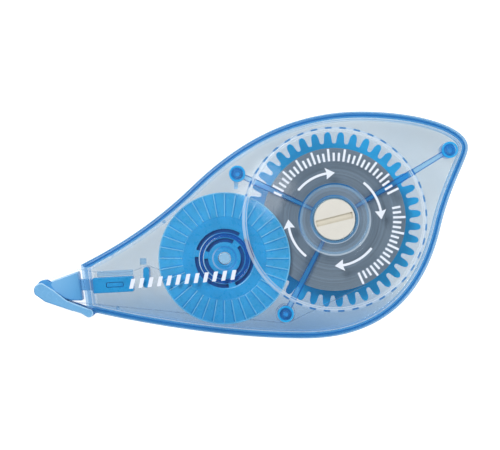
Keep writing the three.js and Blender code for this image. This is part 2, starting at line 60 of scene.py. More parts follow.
def span(node):
    """The lowest and the highest corner of a CAD node's box."""
    low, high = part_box(node)
    return low / MM, high / MM


def middle(node):
    """The place of the middle of a CAD node's box, in the plan."""
    low, high = span(node)
    return complex((low.x + high.x) / 2, (low.y + high.y) / 2)


# ---- driving dimensions

# The case's edge, clockwise from the top of the nose: place, heading in degrees, and the lengths
# of the curve handles before and after the place
OUTLINE = [
    (complex(-63.3, -11.3), 27, 0, 11),
    (complex(-35.5, 8.3), 44, 13, 15),
    (complex(6.5, 26.9), 0, 18, 14.5),
    (complex(33.2, 17.2), -102, 6, 3),
    (complex(26.4, -2), -103, 10, 18),
    (complex(-7.5, -29.7), 180, 19, 18),
    (complex(-61.7, -22.8), 167, 16, 0),
]
OUTLINE_STEPS = 40
NOSE_STEPS = 3
NOSE_CLEAR = 3         # no points of the edge lie closer than this to the nose's two corners
WALL = 1.4
NOSE_WALL = 2.2
MOUTH_SIDES = (-66, -57, -21.7, -12)    # left, right, lower and upper side of the opening for the head
MOUTH_BOTTOM, MOUTH_TOP = 3, 10.2
REAR_TOP = 5.9
FRONT_BOTTOM = 6.1
FLOOR_TOP = 1.3
LID_BOTTOM = 10.9
LID_TOP = 12.1
WINDOW_TOP = span("front_cover")[1].z
WINDOW_RADIUS = 23.1
WINDOW_UNDERSIDE = 11.8
DISH_RADIUS = 9
DISH_TOP = 12.2
DISH_BOTTOM = 11
BOSS_RADIUS = 6.1
BOSS_BORE = 5.3
REEL_CLEAR = 9.5
POST_RADIUS = 2.05
POST_BORE = 1
PEG_RADIUS = 0.75
POSTS = [complex(-24.3, 11.4), complex(28.7, 17.35), complex(-12.2, -23.6)]
PIPS = [complex(-55.6, -8.8), complex(-54.1, -22.1), complex(-42.6, -0.6)]

TAPE_BOTTOM = span("supply_tape_roll")[0].z
TAPE_TOP = span("supply_tape_roll")[1].z
TAPE_THICKNESS = 0.15
ROLL_RADIUS = span("supply_tape_roll")[1].x
CORE_RADIUS = 5.15
CORE_TOP = span("tape_core")[1].z
SUPPLY_AXIS = 0j
TAKEUP_AXIS = middle("takeup_flange")
FLANGE_RADIUS = (span("takeup_flange")[1].x - span("takeup_flange")[0].x) / 2
FLANGE_BOTTOM = span("takeup_flange")[0].z
FLANGE_TOP = span("takeup_flange")[1].z
GEAR_BOTTOM = span("supply_gear")[0].z
GEAR_TOP = 3.8
SUPPLY_TEETH = 40
TAKEUP_TEETH = 15
SUPPLY_PHASE = 4.1
TAKEUP_ANGLE = 199.5
SPOKE_ANGLES = [51, 170, 286]

HEAD_BOTTOM, HEAD_TOP = (corner.z for corner in span("applicator_head"))
ROLLER_AXIS = middle("tip_roller")
ROLLER_RADIUS = 1.25
CAP_HINGE = complex(-61.3, -23.4)
CAP_LEAVES = [(2, 3), (10.2, 11.2)]     # lower and upper face of each leaf
LEAF_GAP = 0.4
LUG_RADIUS = 1.1
LUG_BORE = 0.65
LUG_ROOM = 1.4
BLOCK_START = complex(-60.1, -16.6)
BLOCK_TILT = 3
BLOCK_HALF_WIDTH = 1.95

PAST = 1               # how far a cutter reaches past what it cuts
SINK = 0.1             # how deep a part that is joined on sinks into the panel that it stands on
THROUGH = (-PAST, WINDOW_TOP + PAST)    # the ends of a cutter that goes through the whole case
BEVEL = 0.1            # of the covers' edges at the parting between them
SMALL_EDGE = 0.15      # the rounding of most small edges

ROUND = 96
FINE_ROUND = 192
SMALL_ROUND = 40

# ---- flat shapes


def polar(radius, degrees, centre=0j):
    return centre + cmath.rect(radius, math.radians(degrees))


def arc(centre, radius, start, end, steps):
    return [polar(radius, start + (end - start) * i / steps, centre) for i in range(steps + 1)]


def circle(radius, centre=0j, sides=ROUND):
    return arc(centre, radius, 0, 360, sides)[:sides]


def points(*pairs):
    return [complex(x, y) for x, y in pairs]


def rectangle(x0, x1, y0, y1):
    return points((x0, y0), (x1, y0), (x1, y1), (x0, y1))


def bar(start, end, half_width, degrees, centre=0j, end_half=None):
    """A bar that points away from the centre. Its half width can change from one end to the other."""
    end_half = half_width if end_half is None else end_half
    corners = points((start, -half_width), (end, -end_half), (end, end_half), (start, half_width))
    turn = polar(1, degrees)
    return [centre + corner * turn for corner in corners]


def offset(loop, distance):
    """A closed loop moved to its left by the distance: inwards for a loop that runs counterclockwise."""
    moved = []
    for i, here in enumerate(loop):
        into = here - loop[i - 1]
        out = loop[(i + 1) % len(loop)] - here
        into, out = into / abs(into), out / abs(out)
        mean = into + out
        mean /= abs(mean)
        stretch = distance / max(0.3, (mean * out.conjugate()).real)
        moved.append(here + mean * 1j * stretch)
    return moved


def rounded(loop, radius, steps=5, closed=True):
    """The loop with each corner replaced by a curve that starts at most the radius away from it."""
    result = []
    for i, here in enumerate(loop):
        if not closed and i in (0, len(loop) - 1):
            result.append(here)
            continue
        before = loop[i - 1]
        after = loop[(i + 1) % len(loop)]
        reach_in = min(radius, abs(before - here) * 0.45)
        reach_out = min(radius, abs(after - here) * 0.45)
        start = here + (before - here) / abs(before - here) * reach_in
        end = here + (after - here) / abs(after - here) * reach_out
        for k in range(steps + 1):
            t = k / steps
            result.append(start * (1 - t) ** 2 + here * 2 * t * (1 - t) + end * t ** 2)
    return result


def headings(path):
    """Unit headings along an open path, each the mean of those before and after its point."""
    steps = [(b - a) / abs(b - a) for a, b in zip(path, path[1:])]
    return [steps[0]] + [(a + b) / abs(a + b) for a, b in zip(steps, steps[1:])] + [steps[-1]]


def beside(path, distance):
    """An open path moved to its left by the distance."""
    return [p + distance * 1j * heading for p, heading in zip(path, headings(path))]


def case_outline():
    """The case's edge, counterclockwise."""
    loop = []
    for (start, heading, _, after), (end, new_heading, before, _) in zip(OUTLINE, OUTLINE[1:]):
        leave = polar(after, heading, start)
        arrive = polar(-before, new_heading, end)
        for i in range(OUTLINE_STEPS):
            t = i / OUTLINE_STEPS
            loop.append(start * (1 - t) ** 3 + leave * 3 * t * (1 - t) ** 2
                        + arrive * 3 * t ** 2 * (1 - t) + end * t ** 3)
    nose_top, nose_bottom = OUTLINE[0][0], OUTLINE[-1][0]
    loop = [nose_top] + [p for p in loop if min(abs(p - nose_top), abs(p - nose_bottom)) > NOSE_CLEAR]
    loop += [nose_bottom + (nose_top - nose_bottom) * i / NOSE_STEPS for i in range(NOSE_STEPS)]
    return loop[::-1]


CASE = case_outline()


def case_loop(inset, nose_inset=0):
    """The case's edge moved inwards, and kept at least the nose inset away from the nose's face."""
    loop = offset(CASE, inset)
    top, bottom = OUTLINE[0][0], OUTLINE[-1][0]
    kept = []
    for here in loop:
        share = (here.imag - bottom.imag) / (top.imag - bottom.imag)
        face = bottom.real + (top.real - bottom.real) * share
        kept.append(complex(max(here.real, face + nose_inset), here.imag))
    return kept


# ---- solids

SHARP_DEGREES = 32     # a fold steeper than this stays sharp in the shading
SAME_PLACE = 1e-7      # points closer than this, in metres, are one


def new_object(name, data):
    obj = bpy.data.objects.new(name, data)
    bpy.context.scene.collection.objects.link(obj)
    return obj


def finish_mesh(mesh):
    mesh.polygons.foreach_set("use_smooth", [True] * len(mesh.polygons))
    mesh.set_sharp_from_angle(angle=math.radians(SHARP_DEGREES))


def mesh_object(name, bm, materials):
    """The object made of a bmesh, which is freed."""
    mesh = bpy.data.meshes.new(name)
    bm.to_mesh(mesh)
    bm.free()
    for material in materials:
        mesh.materials.append(material)
    finish_mesh(mesh)
    return new_object(name, mesh)


def loft(name, rings, material, bands=None, closed=False):
    """A solid through loops of equal length, each given as (loop, height). bands gives the material of the
    stretch after a ring, by the ring's number, and material is that of all the rest and of both ends."""
    bm = bmesh.new()
    rows = [[bm.verts.new((p.real * MM, p.imag * MM, z * MM)) for p in loop] for loop, z in rings]
    materials = [material]
    count = len(rows[0])
    pairs = list(zip(rows, rows[1:])) + ([(rows[-1], rows[0])] if closed else [])
    for number, (low, high) in enumerate(pairs):
        own = (bands or {}).get(number, material)
        if own not in materials:
            materials.append(own)
        for i in range(count):
            j = (i + 1) % count
            face = bm.faces.new((low[i], low[j], high[j], high[i]))
            face.material_index = materials.index(own)
    if not closed:
        bm.faces.new(rows[0][::-1])
        bm.faces.new(rows[-1])
    bmesh.ops.remove_doubles(bm, verts=bm.verts, dist=SAME_PLACE)
    bmesh.ops.recalc_face_normals(bm, faces=bm.faces)
    return mesh_object(name, bm, materials)


def fillet(radius, steps=5):
    """(inset, drop) pairs from the side of a rounded upper edge to its top, or one pair for a sharp edge."""
    if not radius:
        return [(0, 0)]
    angles = [math.pi / 2 * k / steps for k in range(steps + 1)]
    return [(radius * (1 - math.cos(angle)), radius * (1 - math.sin(angle))) for angle in angles]


def prism(name, loop, bottom, top, material, edge=0.0, bottom_edge=None, steps=4, edge_material=None):
    """An upright solid of the loop's shape, with its upper and lower edges rounded. The loop runs
    counterclockwise. The upper edge can have a material of its own."""
    lower = fillet(edge if bottom_edge is None else bottom_edge, steps)
    upper = fillet(edge, steps)
    rings = [(offset(loop, inset), bottom + rise) for inset, rise in reversed(lower)]
    rings += [(offset(loop, inset), top - drop) for inset, drop in upper]
    bands = {}
    if edge_material:
        bands = {len(lower) + k: edge_material for k in range(steps)}
    return loft(name, rings, material, bands)


def disc(name, radius, bottom, top, material, centre=0j, edge=0.0, sides=ROUND):
    return prism(name, circle(radius, centre, sides), bottom, top, material, edge)


def turned(name, profile, material, centre=0j, sides=ROUND, bands=None, closed=False):
    """A solid of revolution about an upright axis. The profile's points are radius + height * 1j."""
    rings = [(circle(p.real, centre, sides), p.imag) for p in profile]
    return loft(name, rings, material, bands, closed)


def tube(name, inner, outer, bottom, top, material, edge=0.1, steps=2, centre=0j, sides=ROUND):
    """An upright tube with all four corners of its section rounded."""
    section = rounded(rectangle(inner, outer, bottom, top), edge, steps)
    return turned(name, section, material, centre, sides, closed=True)


def banded_ring(name, stretches, edge, centre, sides):
    """A turned ring given as (radius, height, material of the stretch after that corner), with its corners
    rounded."""
    steps = 2
    profile = rounded([complex(radius, height) for radius, height, _ in stretches], edge, steps)
    bands = {}
    for number, (_, _, material) in enumerate(stretches):
        for k in range(steps + 1):
            bands[number * (steps + 1) + 1 + k] = material
    return turned(name, profile, stretches[0][2], centre, sides, bands, closed=True)


def combine(target, others, operation="UNION"):
    """Joins the other solids to the target, or cuts them out of it, and deletes them."""
    for other in others:
        modifier = target.modifiers.new("combine", "BOOLEAN")
        modifier.operation = operation
        modifier.solver = "EXACT"
        modifier.material_mode = "TRANSFER"
        modifier.object = other
    graph = bpy.context.evaluated_depsgraph_get()
    mesh = bpy.data.meshes.new_from_object(target.evaluated_get(graph))
    target.modifiers.clear()
    target.data = mesh
    for other in others:
        bpy.data.objects.remove(other)
    finish_mesh(mesh)
    return target


def cut(target, cutters):
    return combine(target, cutters, "DIFFERENCE")


def join(name, objects):
    """Puts separate solids into one object."""
    bm = bmesh.new()
    materials = list(objects[0].data.materials)
    for obj in objects:
        bm.from_mesh(obj.data)
        bpy.data.objects.remove(obj)
    return mesh_object(name, bm, materials)


def install(piece, body, slot, *nodes):
    """Makes a solid ride on its body and stand for the CAD nodes that it shows."""
    normals = piece.modifiers.new("normals", "WEIGHTED_NORMAL")
    normals.keep_sharp = True
    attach(piece, body)
    if nodes:
        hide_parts(*nodes)


# ---- materials

USUAL_NOISE = (0.3, 0.7)       # most values of a noise lie in this range
GRAIN_DEPTH = 0.004
RIPPLE_DEPTH = 0.006
FACING_GLEAM = 0.018           # the share of light that clear plastic mirrors when seen straight on
LOW_TINT_Y = -30               # the case's deeper tint is full here, near its lower side,
CLEAR_TINT_Y = -15.5           # and gone here


class Nodes:
    """A material's node tree, with short calls that add a node and link its inputs."""

    def __init__(self, name):
        self.material = bpy.data.materials.new(name)
        self.material.use_nodes = True
        self.tree = self.material.node_tree
        self.tree.nodes.clear()
        self.output = self.tree.nodes.new("ShaderNodeOutputMaterial")
        self.place = self.tree.nodes.new("ShaderNodeTexCoord").outputs["Object"]

    def add(self, kind, settings=(), **inputs):
        node = self.tree.nodes.new("ShaderNode" + kind)
        for key, value in dict(settings).items():
            setattr(node, key, value)
        for key, value in inputs.items():
            socket = node.inputs[int(key[1:])] if key[0] == "_" else node.inputs[key.replace("_", " ")]
            if isinstance(value, bpy.types.NodeSocket):
                self.tree.links.new(value, socket)
            else:
                socket.default_value = value
        return node

    def math(self, operation, a, b=0.0):
        return self.add("Math", {"operation": operation}, _0=a, _1=b).outputs[0]

    def vector(self, operation, a, b=(0, 0, 0)):
        return self.add("VectorMath", {"operation": operation}, _0=a, _1=b).outputs

    def noise(self, scale, detail=3.0, roughness=0.5, place=None):
        return self.add("TexNoise", Vector=place or self.place, Scale=scale, Detail=detail,
                        Roughness=roughness).outputs["Fac"]

    def remap(self, value, low, high, new_low=0.0, new_high=1.0):
        return self.add("MapRange", Value=value, From_Min=low, From_Max=high,
                        To_Min=new_low, To_Max=new_high).outputs["Result"]

    def clouds(self, scale, low=0.0, high=1.0, detail=3.0):
        """Noise whose usual values are spread from low to high."""
        return self.remap(self.noise(scale, detail), *USUAL_NOISE, low, high)

    def mix_colour(self, factor, a, b):
        node = self.add("Mix", {"data_type": "RGBA"}, _0=factor, _6=a, _7=b)
        return node.outputs[2]

    def bump(self, height, distance):
        node = self.add("Bump", Height=height, Distance=distance * MM, Strength=1.0)
        return node.outputs["Normal"]

    def hazy(self, haze, tint, body, roughness=0.3):
        """Plastic that passes light with the tint, and scatters the haze's share with the body's colour."""
        passing = self.add("BsdfTransparent", Color=tint).outputs[0]
        scattered = self.add("BsdfPrincipled", Base_Color=body, Roughness=roughness).outputs[0]
        return self.add("MixShader", _0=haze, _1=passing, _2=scattered).outputs[0]

    def done(self, shader):
        self.tree.links.new(shader, self.output.inputs["Surface"])
        return self.material


def linear(red, green, blue):
    """A colour given in display values from 0 to 255."""
    return tuple((value / 255) ** 2.2 for value in (red, green, blue)) + (1.0,)


def shade(colour, factor):
    """A colour of display values, made lighter or darker by the factor."""
    return tuple(min(1.0, value * factor) for value in linear(*colour)[:3]) + (1.0,)


def plastic(name, colour, roughness=0.3, variation=0.08, coat=0.0):
    """Moulded plastic with faint flow clouds, an uneven gloss and a fine surface texture."""
    n = Nodes(name)
    flow = n.clouds(260.0)
    tint = n.mix_colour(flow, shade(colour, 1 - variation), shade(colour, 1 + variation))
    gloss = n.clouds(900.0, roughness * 0.8, roughness * 1.25, detail=2.0)
    grain = n.bump(n.noise(5200.0, 2.0), GRAIN_DEPTH)
    shader = n.add("BsdfPrincipled", Base_Color=tint, Roughness=gloss, Normal=grain,
                   Coat_Weight=coat)
    return n.done(shader.outputs[0])


def see_through(name, tint, haze, body, low_tint=None, gloss=0.05, gleam=0.5):
    """Clear tinted plastic. Light passes with the tint, which can deepen to another one towards the case's
    lower side. The haze is the share of light that the plastic's body scatters, and the gleam is the share
    that is mirrored at a glancing angle."""
    n = Nodes(name)
    colour = tint + (1,)
    if low_tint:
        height = n.add("SeparateXYZ", Vector=n.place).outputs["Y"]
        share = n.remap(height, LOW_TINT_Y * MM, CLEAR_TINT_Y * MM)
        cloudy = n.math("ADD", share, n.clouds(70.0, -0.08, 0.08))
        colour = n.mix_colour(cloudy, low_tint + (1,), colour)
    ripple = n.bump(n.noise(420.0, 1.0), RIPPLE_DEPTH)
    shine = n.add("BsdfAnisotropic", Color=(1.0, 1.0, 1.0, 1.0), Roughness=gloss,
                  Normal=ripple).outputs[0]
    slope = n.add("LayerWeight", Blend=0.5).outputs["Facing"]
    mirrored = n.remap(n.math("POWER", slope, 4.0), 0.0, 1.0, FACING_GLEAM, gleam)
    cloud = n.hazy(haze, colour, linear(*body), 0.35)
    return n.done(n.add("MixShader", _0=mirrored, _1=cloud, _2=shine).outputs[0])


CLEAR = see_through("clear_front", (0.925, 0.94, 0.95), 0.015, (160, 190, 225), (0.785, 0.86, 0.90))
CLEAR_REAR = see_through("clear_rear", (0.83, 0.863, 0.88), 0.03, (150, 180, 215), (0.53, 0.66, 0.80))
RIM = see_through("rim_blue", (0.57, 0.78, 0.90), 0.35, (74, 156, 216), gleam=0.15)
RIM_DARK = see_through("rim_dark", (0.34, 0.61, 0.83), 0.55, (20, 98, 174))
RIM_EDGE = see_through("rim_edge", (0.46, 0.68, 0.84), 0.4, (50, 130, 192), gloss=0.3, gleam=0.15)
RIM_INNER = see_through("rim_inner", (0.62, 0.82, 0.93), 0.3, (96, 170, 226))
NOSE_EDGE = see_through("nose_edge", (0.68, 0.82, 0.92), 0.35, (104, 166, 222), gleam=0.15)
# a painted highlight: the white line along the inside of the lid's wall
EDGE_HIGHLIGHT = see_through("edge_highlight", (0.96, 0.97, 0.98), 0.3, (228, 240, 252), (0.80, 0.88, 0.95))
EDGE_SOFT = see_through("edge_soft", (0.86, 0.92, 0.975), 0.1, (160, 198, 240), (0.78, 0.86, 0.93))
CONTOUR = see_through("contour", (0.74, 0.84, 0.91), 0.15, (130, 165, 205))
RIB = see_through("rib_blue", (0.66, 0.88, 0.97), 0.5, (140, 205, 250))
RIB_EDGE = see_through("rib_edge", (0.20, 0.52, 0.80), 0.6, (20, 110, 196), gleam=0.1)
RIB_MID = see_through("rib_mid", (0.34, 0.70, 0.92), 0.6, (68, 170, 238))
RIB_INNER = see_through("rib_inner", (0.50, 0.80, 0.95), 0.6, (90, 180, 236))
DISH_FLOOR = see_through("dish_floor", (0.925, 0.945, 0.96), 0.12, (190, 215, 240), (0.785, 0.86, 0.90))
DISH_BAND = see_through("dish_band", (0.86, 0.92, 0.97), 0.32, (160, 206, 244))
BOSS_RING = see_through("boss_ring", (0.90, 0.94, 0.97), 0.3, (128, 186, 234))
POST = see_through("post_blue", (0.30, 0.62, 0.86), 0.85, (30, 166, 232))
POST_CORE = see_through("post_core", (0.40, 0.70, 0.92), 0.85, (48, 180, 242))
# a painted highlight ring round a post's bore
POST_HIGHLIGHT = see_through("post_highlight", (0.66, 0.88, 0.97), 0.7, (120, 200, 246))
POST_WALL = see_through("post_wall", (0.66, 0.86, 0.96), 0.1, (60, 160, 235))
GEAR = plastic("gear_blue", (46, 186, 254), 0.35)
FLANGE = plastic("flange_blue", (50, 167, 231))
FLANGE_BAND = plastic("flange_band", (66, 177, 235))
# a lighter copy of the flange's blue: painted highlight on its ribs and rim
FLANGE_RIB_HIGHLIGHT = plastic("flange_rib_highlight", (122, 206, 250), 0.25)
# a darker copy of the flange's blue: painted shade beside each rib
FLANGE_GROOVE_SHADE = plastic("flange_groove_shade", (44, 158, 228))
# a dark copy of the flange's blue: painted shade in the recessed ring between the slots
HUB_RING_SHADE = plastic("hub_ring_shade", (16, 98, 186), 0.15, coat=0.3)
# deep navy for the hub's sleeve, boss and collar and the flange's slot walls: painted shade that makes the
# slots look dark
NAVY_SHADE = plastic("hub_navy_shade", (8, 92, 172), 0.35)
CREAM = plastic("core_cream", (211, 209, 201), 0.5, 0.03)
# a darker cream in the core's slot: painted shade
CREAM_SLOT_SHADE = plastic("core_slot_shade", (206, 201, 186), 0.55, 0.05)
HEAD = plastic("head_blue", (38, 164, 228), 0.3, 0.04)
ARM = plastic("arm_blue", (76, 150, 210), 0.3, 0.03)
CAP = plastic("cap_blue", (112, 171, 218), 0.25, 0.03)
ROLLER = plastic("roller_blue", (60, 140, 210), 0.2, coat=0.4)
RUBBER = plastic("clutch_black", (40, 40, 42), 0.6)
PRINT = plastic("print_white", (222, 230, 243), 0.5, 0.02)


def wound_tape(name, colour):
    """Wound tape, whose edges show as fine rings about the spool's axis."""
    n = Nodes(name)
    flat = n.vector("MULTIPLY", n.place, (1, 1, 0))["Vector"]
    radius = n.vector("LENGTH", flat)["Value"]
    along = n.add("CombineXYZ", X=radius).outputs[0]
    wide = n.noise(1500.0, 4.0, 0.7, place=along)
    fine = n.noise(6000.0, 2.0, place=along)
    streaks = n.math("ADD", n.math("MULTIPLY", wide, 0.7), n.math("MULTIPLY", fine, 0.3))
    tint = n.mix_colour(n.remap(streaks, 0.35, 0.65), shade(colour, 0.66), shade(colour, 1.38))
    shader = n.add("BsdfPrincipled", Base_Color=tint, Roughness=0.55, Normal=n.bump(fine, 0.008))
    return n.done(shader.outputs[0])


def window_edge_painted_light(name, count, phase):
    """The window's edge, painted with a row of deeper dashes that stand for the gear's teeth refracted in it
    (painted refraction), and with a painted highlight: a light line over the take-up reel's flange."""
    n = Nodes(name)
    axes = n.add("SeparateXYZ", Vector=n.place)
    angle = n.math("ARCTAN2", axes.outputs["Y"], axes.outputs["X"])
    # dashes as many as the gear's teeth, at its phase: the painted refraction of the teeth
    wave = n.math("COSINE", n.math("MULTIPLY", n.math("SUBTRACT", angle, math.radians(phase)), count))
    dashes = n.remap(wave, -0.1, 0.35, 0.25, 1.0)
    reel_axis = (TAKEUP_AXIS.real * MM, TAKEUP_AXIS.imag * MM, WINDOW_TOP * MM)
    reel = n.vector("DISTANCE", n.place, reel_axis)["Value"]
    # over the take-up reel's flange the dashes give way to the light colour of the painted highlight
    clear_of_reel = n.remap(reel, (FLANGE_RADIUS - 0.3) * MM, (FLANGE_RADIUS + 0.1) * MM)
    share = n.math("MULTIPLY", dashes, clear_of_reel)
    tint = n.mix_colour(share, (0.90, 0.95, 0.98, 1), (0.20, 0.50, 0.78, 1))
    body = n.mix_colour(share, linear(215, 232, 248), linear(40, 112, 185))
    return n.done(n.hazy(0.5, tint, body))


def painted_light_edge(name, degrees, centre, reach, deep, light, haze=1.0):
    """A rounded edge about a centre, with light and shade painted on: a painted highlight on the side of the
    given direction and painted shade in deep blue on the other, changing over the reach: two distances
    from the centre in that direction."""
    n = Nodes(name)
    towards = polar(1, degrees)
    from_centre = n.vector("SUBTRACT", n.place, (centre.real * MM, centre.imag * MM, 0))["Vector"]
    along = n.vector("DOT_PRODUCT", from_centre, (towards.real, towards.imag, 0))["Value"]
    share = n.remap(along, reach[0] * MM, reach[1] * MM)
    # deep is the colour of the painted shade, and light that of the painted highlight
    tint = n.mix_colour(share, (0.25, 0.55, 0.82, 1), (0.92, 0.95, 0.98, 1))
    return n.done(n.hazy(haze, tint, n.mix_colour(share, linear(*deep), linear(*light))))


# centres of the painted light on the head's wedge and on the cap's upper leaf
HEAD_CENTRE = complex(-67, -16.5)
CAP_CENTRE = complex(-68.5, -20.2)

WOUND = wound_tape("wound_tape", (120, 134, 147))
RIBBON = see_through("carrier_ribbon", (0.94, 0.96, 0.98), 0.15, (170, 195, 220), gleam=0.08)
COATED = see_through("coated_tape", (0.93, 0.95, 0.97), 0.2, (190, 205, 220), gleam=0.08)
# the window's outer side: painted refraction of the gear's teeth and a painted highlight over the flange
WINDOW_EDGE_PAINTED_LIGHT = window_edge_painted_light("window_edge_painted_light", SUPPLY_TEETH, SUPPLY_PHASE)
# the dish's rounded edges: painted highlight towards the lower right, painted shade in deep blue on the
# upper left
DISH_EDGE_PAINTED_LIGHT = painted_light_edge("dish_edge_painted_light", -55, 0j, (-5, 3), (40, 124, 196), (216, 232, 246), 0.55)
# painted highlights on the take-up hub's left: thin lines about the recessed ring and a soft arc on the boss
HUB_HIGHLIGHT_LINE = painted_light_edge("hub_highlight_line", 190, TAKEUP_AXIS, (1, 6.2), (30, 112, 196), (215, 238, 254))
HUB_SOFT_HIGHLIGHT = painted_light_edge("hub_soft_highlight", 195, TAKEUP_AXIS, (0, 3), (46, 152, 226), (150, 196, 236))
# the head's wedge, lighter towards the upper left as if lit from there (painted light), and its rounded
# upper edge with a painted highlight
WEDGE_PAINTED_LIGHT = painted_light_edge("wedge_blue_painted_light", 150, HEAD_CENTRE, (-3.5, 2.5), (90, 158, 212), (116, 175, 222))
WEDGE_RIM_HIGHLIGHT = painted_light_edge("wedge_rim_highlight", 125, HEAD_CENTRE, (-1, 2.5), (84, 150, 206), (168, 206, 236))
# the cap's rounded upper edge: painted highlight towards the upper right, painted shade on the other side
CAP_RIM_HIGHLIGHT = painted_light_edge("cap_rim_highlight", 60, CAP_CENTRE, (-1.5, 1.5), (96, 158, 210), (156, 202, 236))
WINDOW_RIM = see_through("window_rim", (0.93, 0.95, 0.97), 0.12, (205, 222, 240))
# light lines about the window's top ring: painted highlights
WINDOW_HIGHLIGHT = see_through("window_highlight", (0.93, 0.95, 0.97), 0.4, (226, 239, 252))

# ---- covers

OUTER_ROUND = 0.7
INNER_ROUND = 0.5
# Stretches of the lid from its middle out to its rounded edge: where each starts, and its material
RIM_BANDS = [
    (2.4, CONTOUR),
    (2.28, EDGE_SOFT),
    # painted highlight along the inside of the wall
    (1.8, EDGE_HIGHLIGHT),
    (1.6, RIM_INNER),
    (1.12, RIM_DARK),
    (0.82, RIM_EDGE),
]
REAR_BAND = 1.5
# The part of the case that counts as the nose's own edge
NOSE_RIGHT = -58.5
NOSE_LOW = -22
NOSE_HIGH = -12.3
BASE = FLOOR_TOP - 0.2         # the foot of everything that stands on the rear cover's floor
PAD_TOP = GEAR_BOTTOM - 0.3
SUPPLY_PIN_RADIUS, SUPPLY_PIN_TOP = 2, 8.3
SUPPLY_PAD_RADIUS = 4.6
TAKEUP_PIN_RADIUS, TAKEUP_PIN_TOP = 1.45, 10.2
TAKEUP_PAD_RADIUS = 3.2
PIN_EDGE = 0.3
KEY_REACH = (3.1, 7.3)         # along the head's block, from its start
KEY_HALF_WIDTH = 0.58
KEY_TOP = 9.6
GUIDE_SOCKET = (-48.8, -45.3, -18.1, -10.9)
SOCKET_WALL = 0.7
SOCKET_TOP = 3.2
KEEPER = (-48.6, -47, -11.3, -9.7)
SIDE_RIB = (-25.1, -24.1, 7.6, 10)


def lighten_nose(shell):
    """Makes the deep blue edge of a shell lighter where it crosses the nose."""
    mesh = shell.data
    mesh.materials.append(NOSE_EDGE)
    for face in mesh.polygons:
        centre = face.center / MM
        across = centre.x < NOSE_RIGHT and NOSE_LOW < centre.y < NOSE_HIGH
        if across and mesh.materials[face.material_index] in (RIM, RIM_DARK, RIM_EDGE, RIM_INNER):
            face.material_index = len(mesh.materials) - 1
    return shell


def add_side(rings, bands, face, parting, panel):
    """Adds a shell's side to its rings: over the rounded edge of the outer face, along to the parting and
    across it, and back along the inside to the rounded corner at the panel's inner face."""
    away = 1 if face > parting else -1
    for inset, drop in reversed(fillet(OUTER_ROUND)):
        bands[len(rings) - 1] = RIM_EDGE
        rings.append((case_loop(inset), face - away * drop))
    lip = parting + away * BEVEL
    rings += [(case_loop(0), lip), (case_loop(BEVEL), parting)]
    bands[len(rings) - 1] = RIM
    rings += [(case_loop(WALL - BEVEL, NOSE_WALL), parting), (case_loop(WALL, NOSE_WALL + BEVEL), lip)]
    for inset, drop in fillet(INNER_ROUND):
        rings.append((case_loop(WALL + inset, NOSE_WALL + BEVEL + inset), panel - away * drop))


def front_shell():
    rings = [(case_loop(inset), LID_TOP) for inset, _ in RIM_BANDS]
    bands = {number: material for number, (_, material) in enumerate(RIM_BANDS)}
    add_side(rings, bands, LID_TOP, FRONT_BOTTOM, LID_BOTTOM)
    return lighten_nose(loft("front_cover_shell", rings, CLEAR, bands))


def rear_shell():
    rings = [(case_loop(REAR_BAND), 0), (case_loop(OUTER_ROUND + BEVEL), 0)]
    bands = {0: RIM}
    add_side(rings, bands, 0, REAR_TOP, FLOOR_TOP)
    return lighten_nose(loft("rear_cover_shell", rings, CLEAR_REAR, bands))


def window_drum():
    """The raised window with its dish, centre hole and boss, as one turned ring."""
    shelf = WINDOW_RADIUS - 1.2
    boss_bottom = REEL_CLEAR - 0.1
    stretches = [
        (BOSS_BORE, boss_bottom, RIM_INNER),
        (BOSS_RADIUS, boss_bottom, POST_WALL),
        (BOSS_RADIUS, DISH_BOTTOM, CLEAR),
        (DISH_RADIUS + 1, DISH_BOTTOM, CLEAR),
        (DISH_RADIUS + 1, WINDOW_UNDERSIDE, CLEAR),
        (shelf, WINDOW_UNDERSIDE, CLEAR),
        (shelf, LID_BOTTOM + SINK, CLEAR),
        (WINDOW_RADIUS, LID_BOTTOM + SINK, CLEAR),
        # the window's outer side and the lines about its top ring carry painted refraction and painted
        # highlights
        (WINDOW_RADIUS, WINDOW_TOP - 0.45, WINDOW_EDGE_PAINTED_LIGHT),
        (WINDOW_RADIUS - 0.5, WINDOW_TOP, WINDOW_HIGHLIGHT),
        (WINDOW_RADIUS - 0.75, WINDOW_TOP, WINDOW_RIM),
        (shelf + 0.2, WINDOW_TOP, WINDOW_HIGHLIGHT),
        (shelf, WINDOW_TOP, CLEAR),
        # the dish's rounded edges carry painted highlight and painted shade
        (DISH_RADIUS + 0.05, WINDOW_TOP, DISH_EDGE_PAINTED_LIGHT),
        (DISH_RADIUS - 0.3, DISH_TOP, DISH_BAND),
        (DISH_RADIUS - 0.9, DISH_TOP, DISH_FLOOR),
        (BOSS_BORE + 0.8, DISH_TOP, DISH_EDGE_PAINTED_LIGHT),
        (BOSS_BORE + 0.65, DISH_TOP, BOSS_RING),
        (BOSS_BORE, DISH_TOP, POST_WALL),
    ]
    return banded_ring("window", stretches, 0.12, 0j, FINE_ROUND)


def rib(name, start, end, start_width, end_width, degrees, bottom, top, material):
    """A rib that hangs from a lid and widens outwards, with deeper coloured, slanting sides."""
    slant, slant_height = 0.24, 0.6
    low = bar(start, end, start_width / 2 - slant, degrees, end_half=end_width / 2 - slant)
    high = bar(start, end, start_width / 2, degrees, end_half=end_width / 2)
    rings = [(low, bottom), (high, bottom + slant_height), (high, top)]
    return loft(name, rings, material, {0: RIB_EDGE, 1: CLEAR})


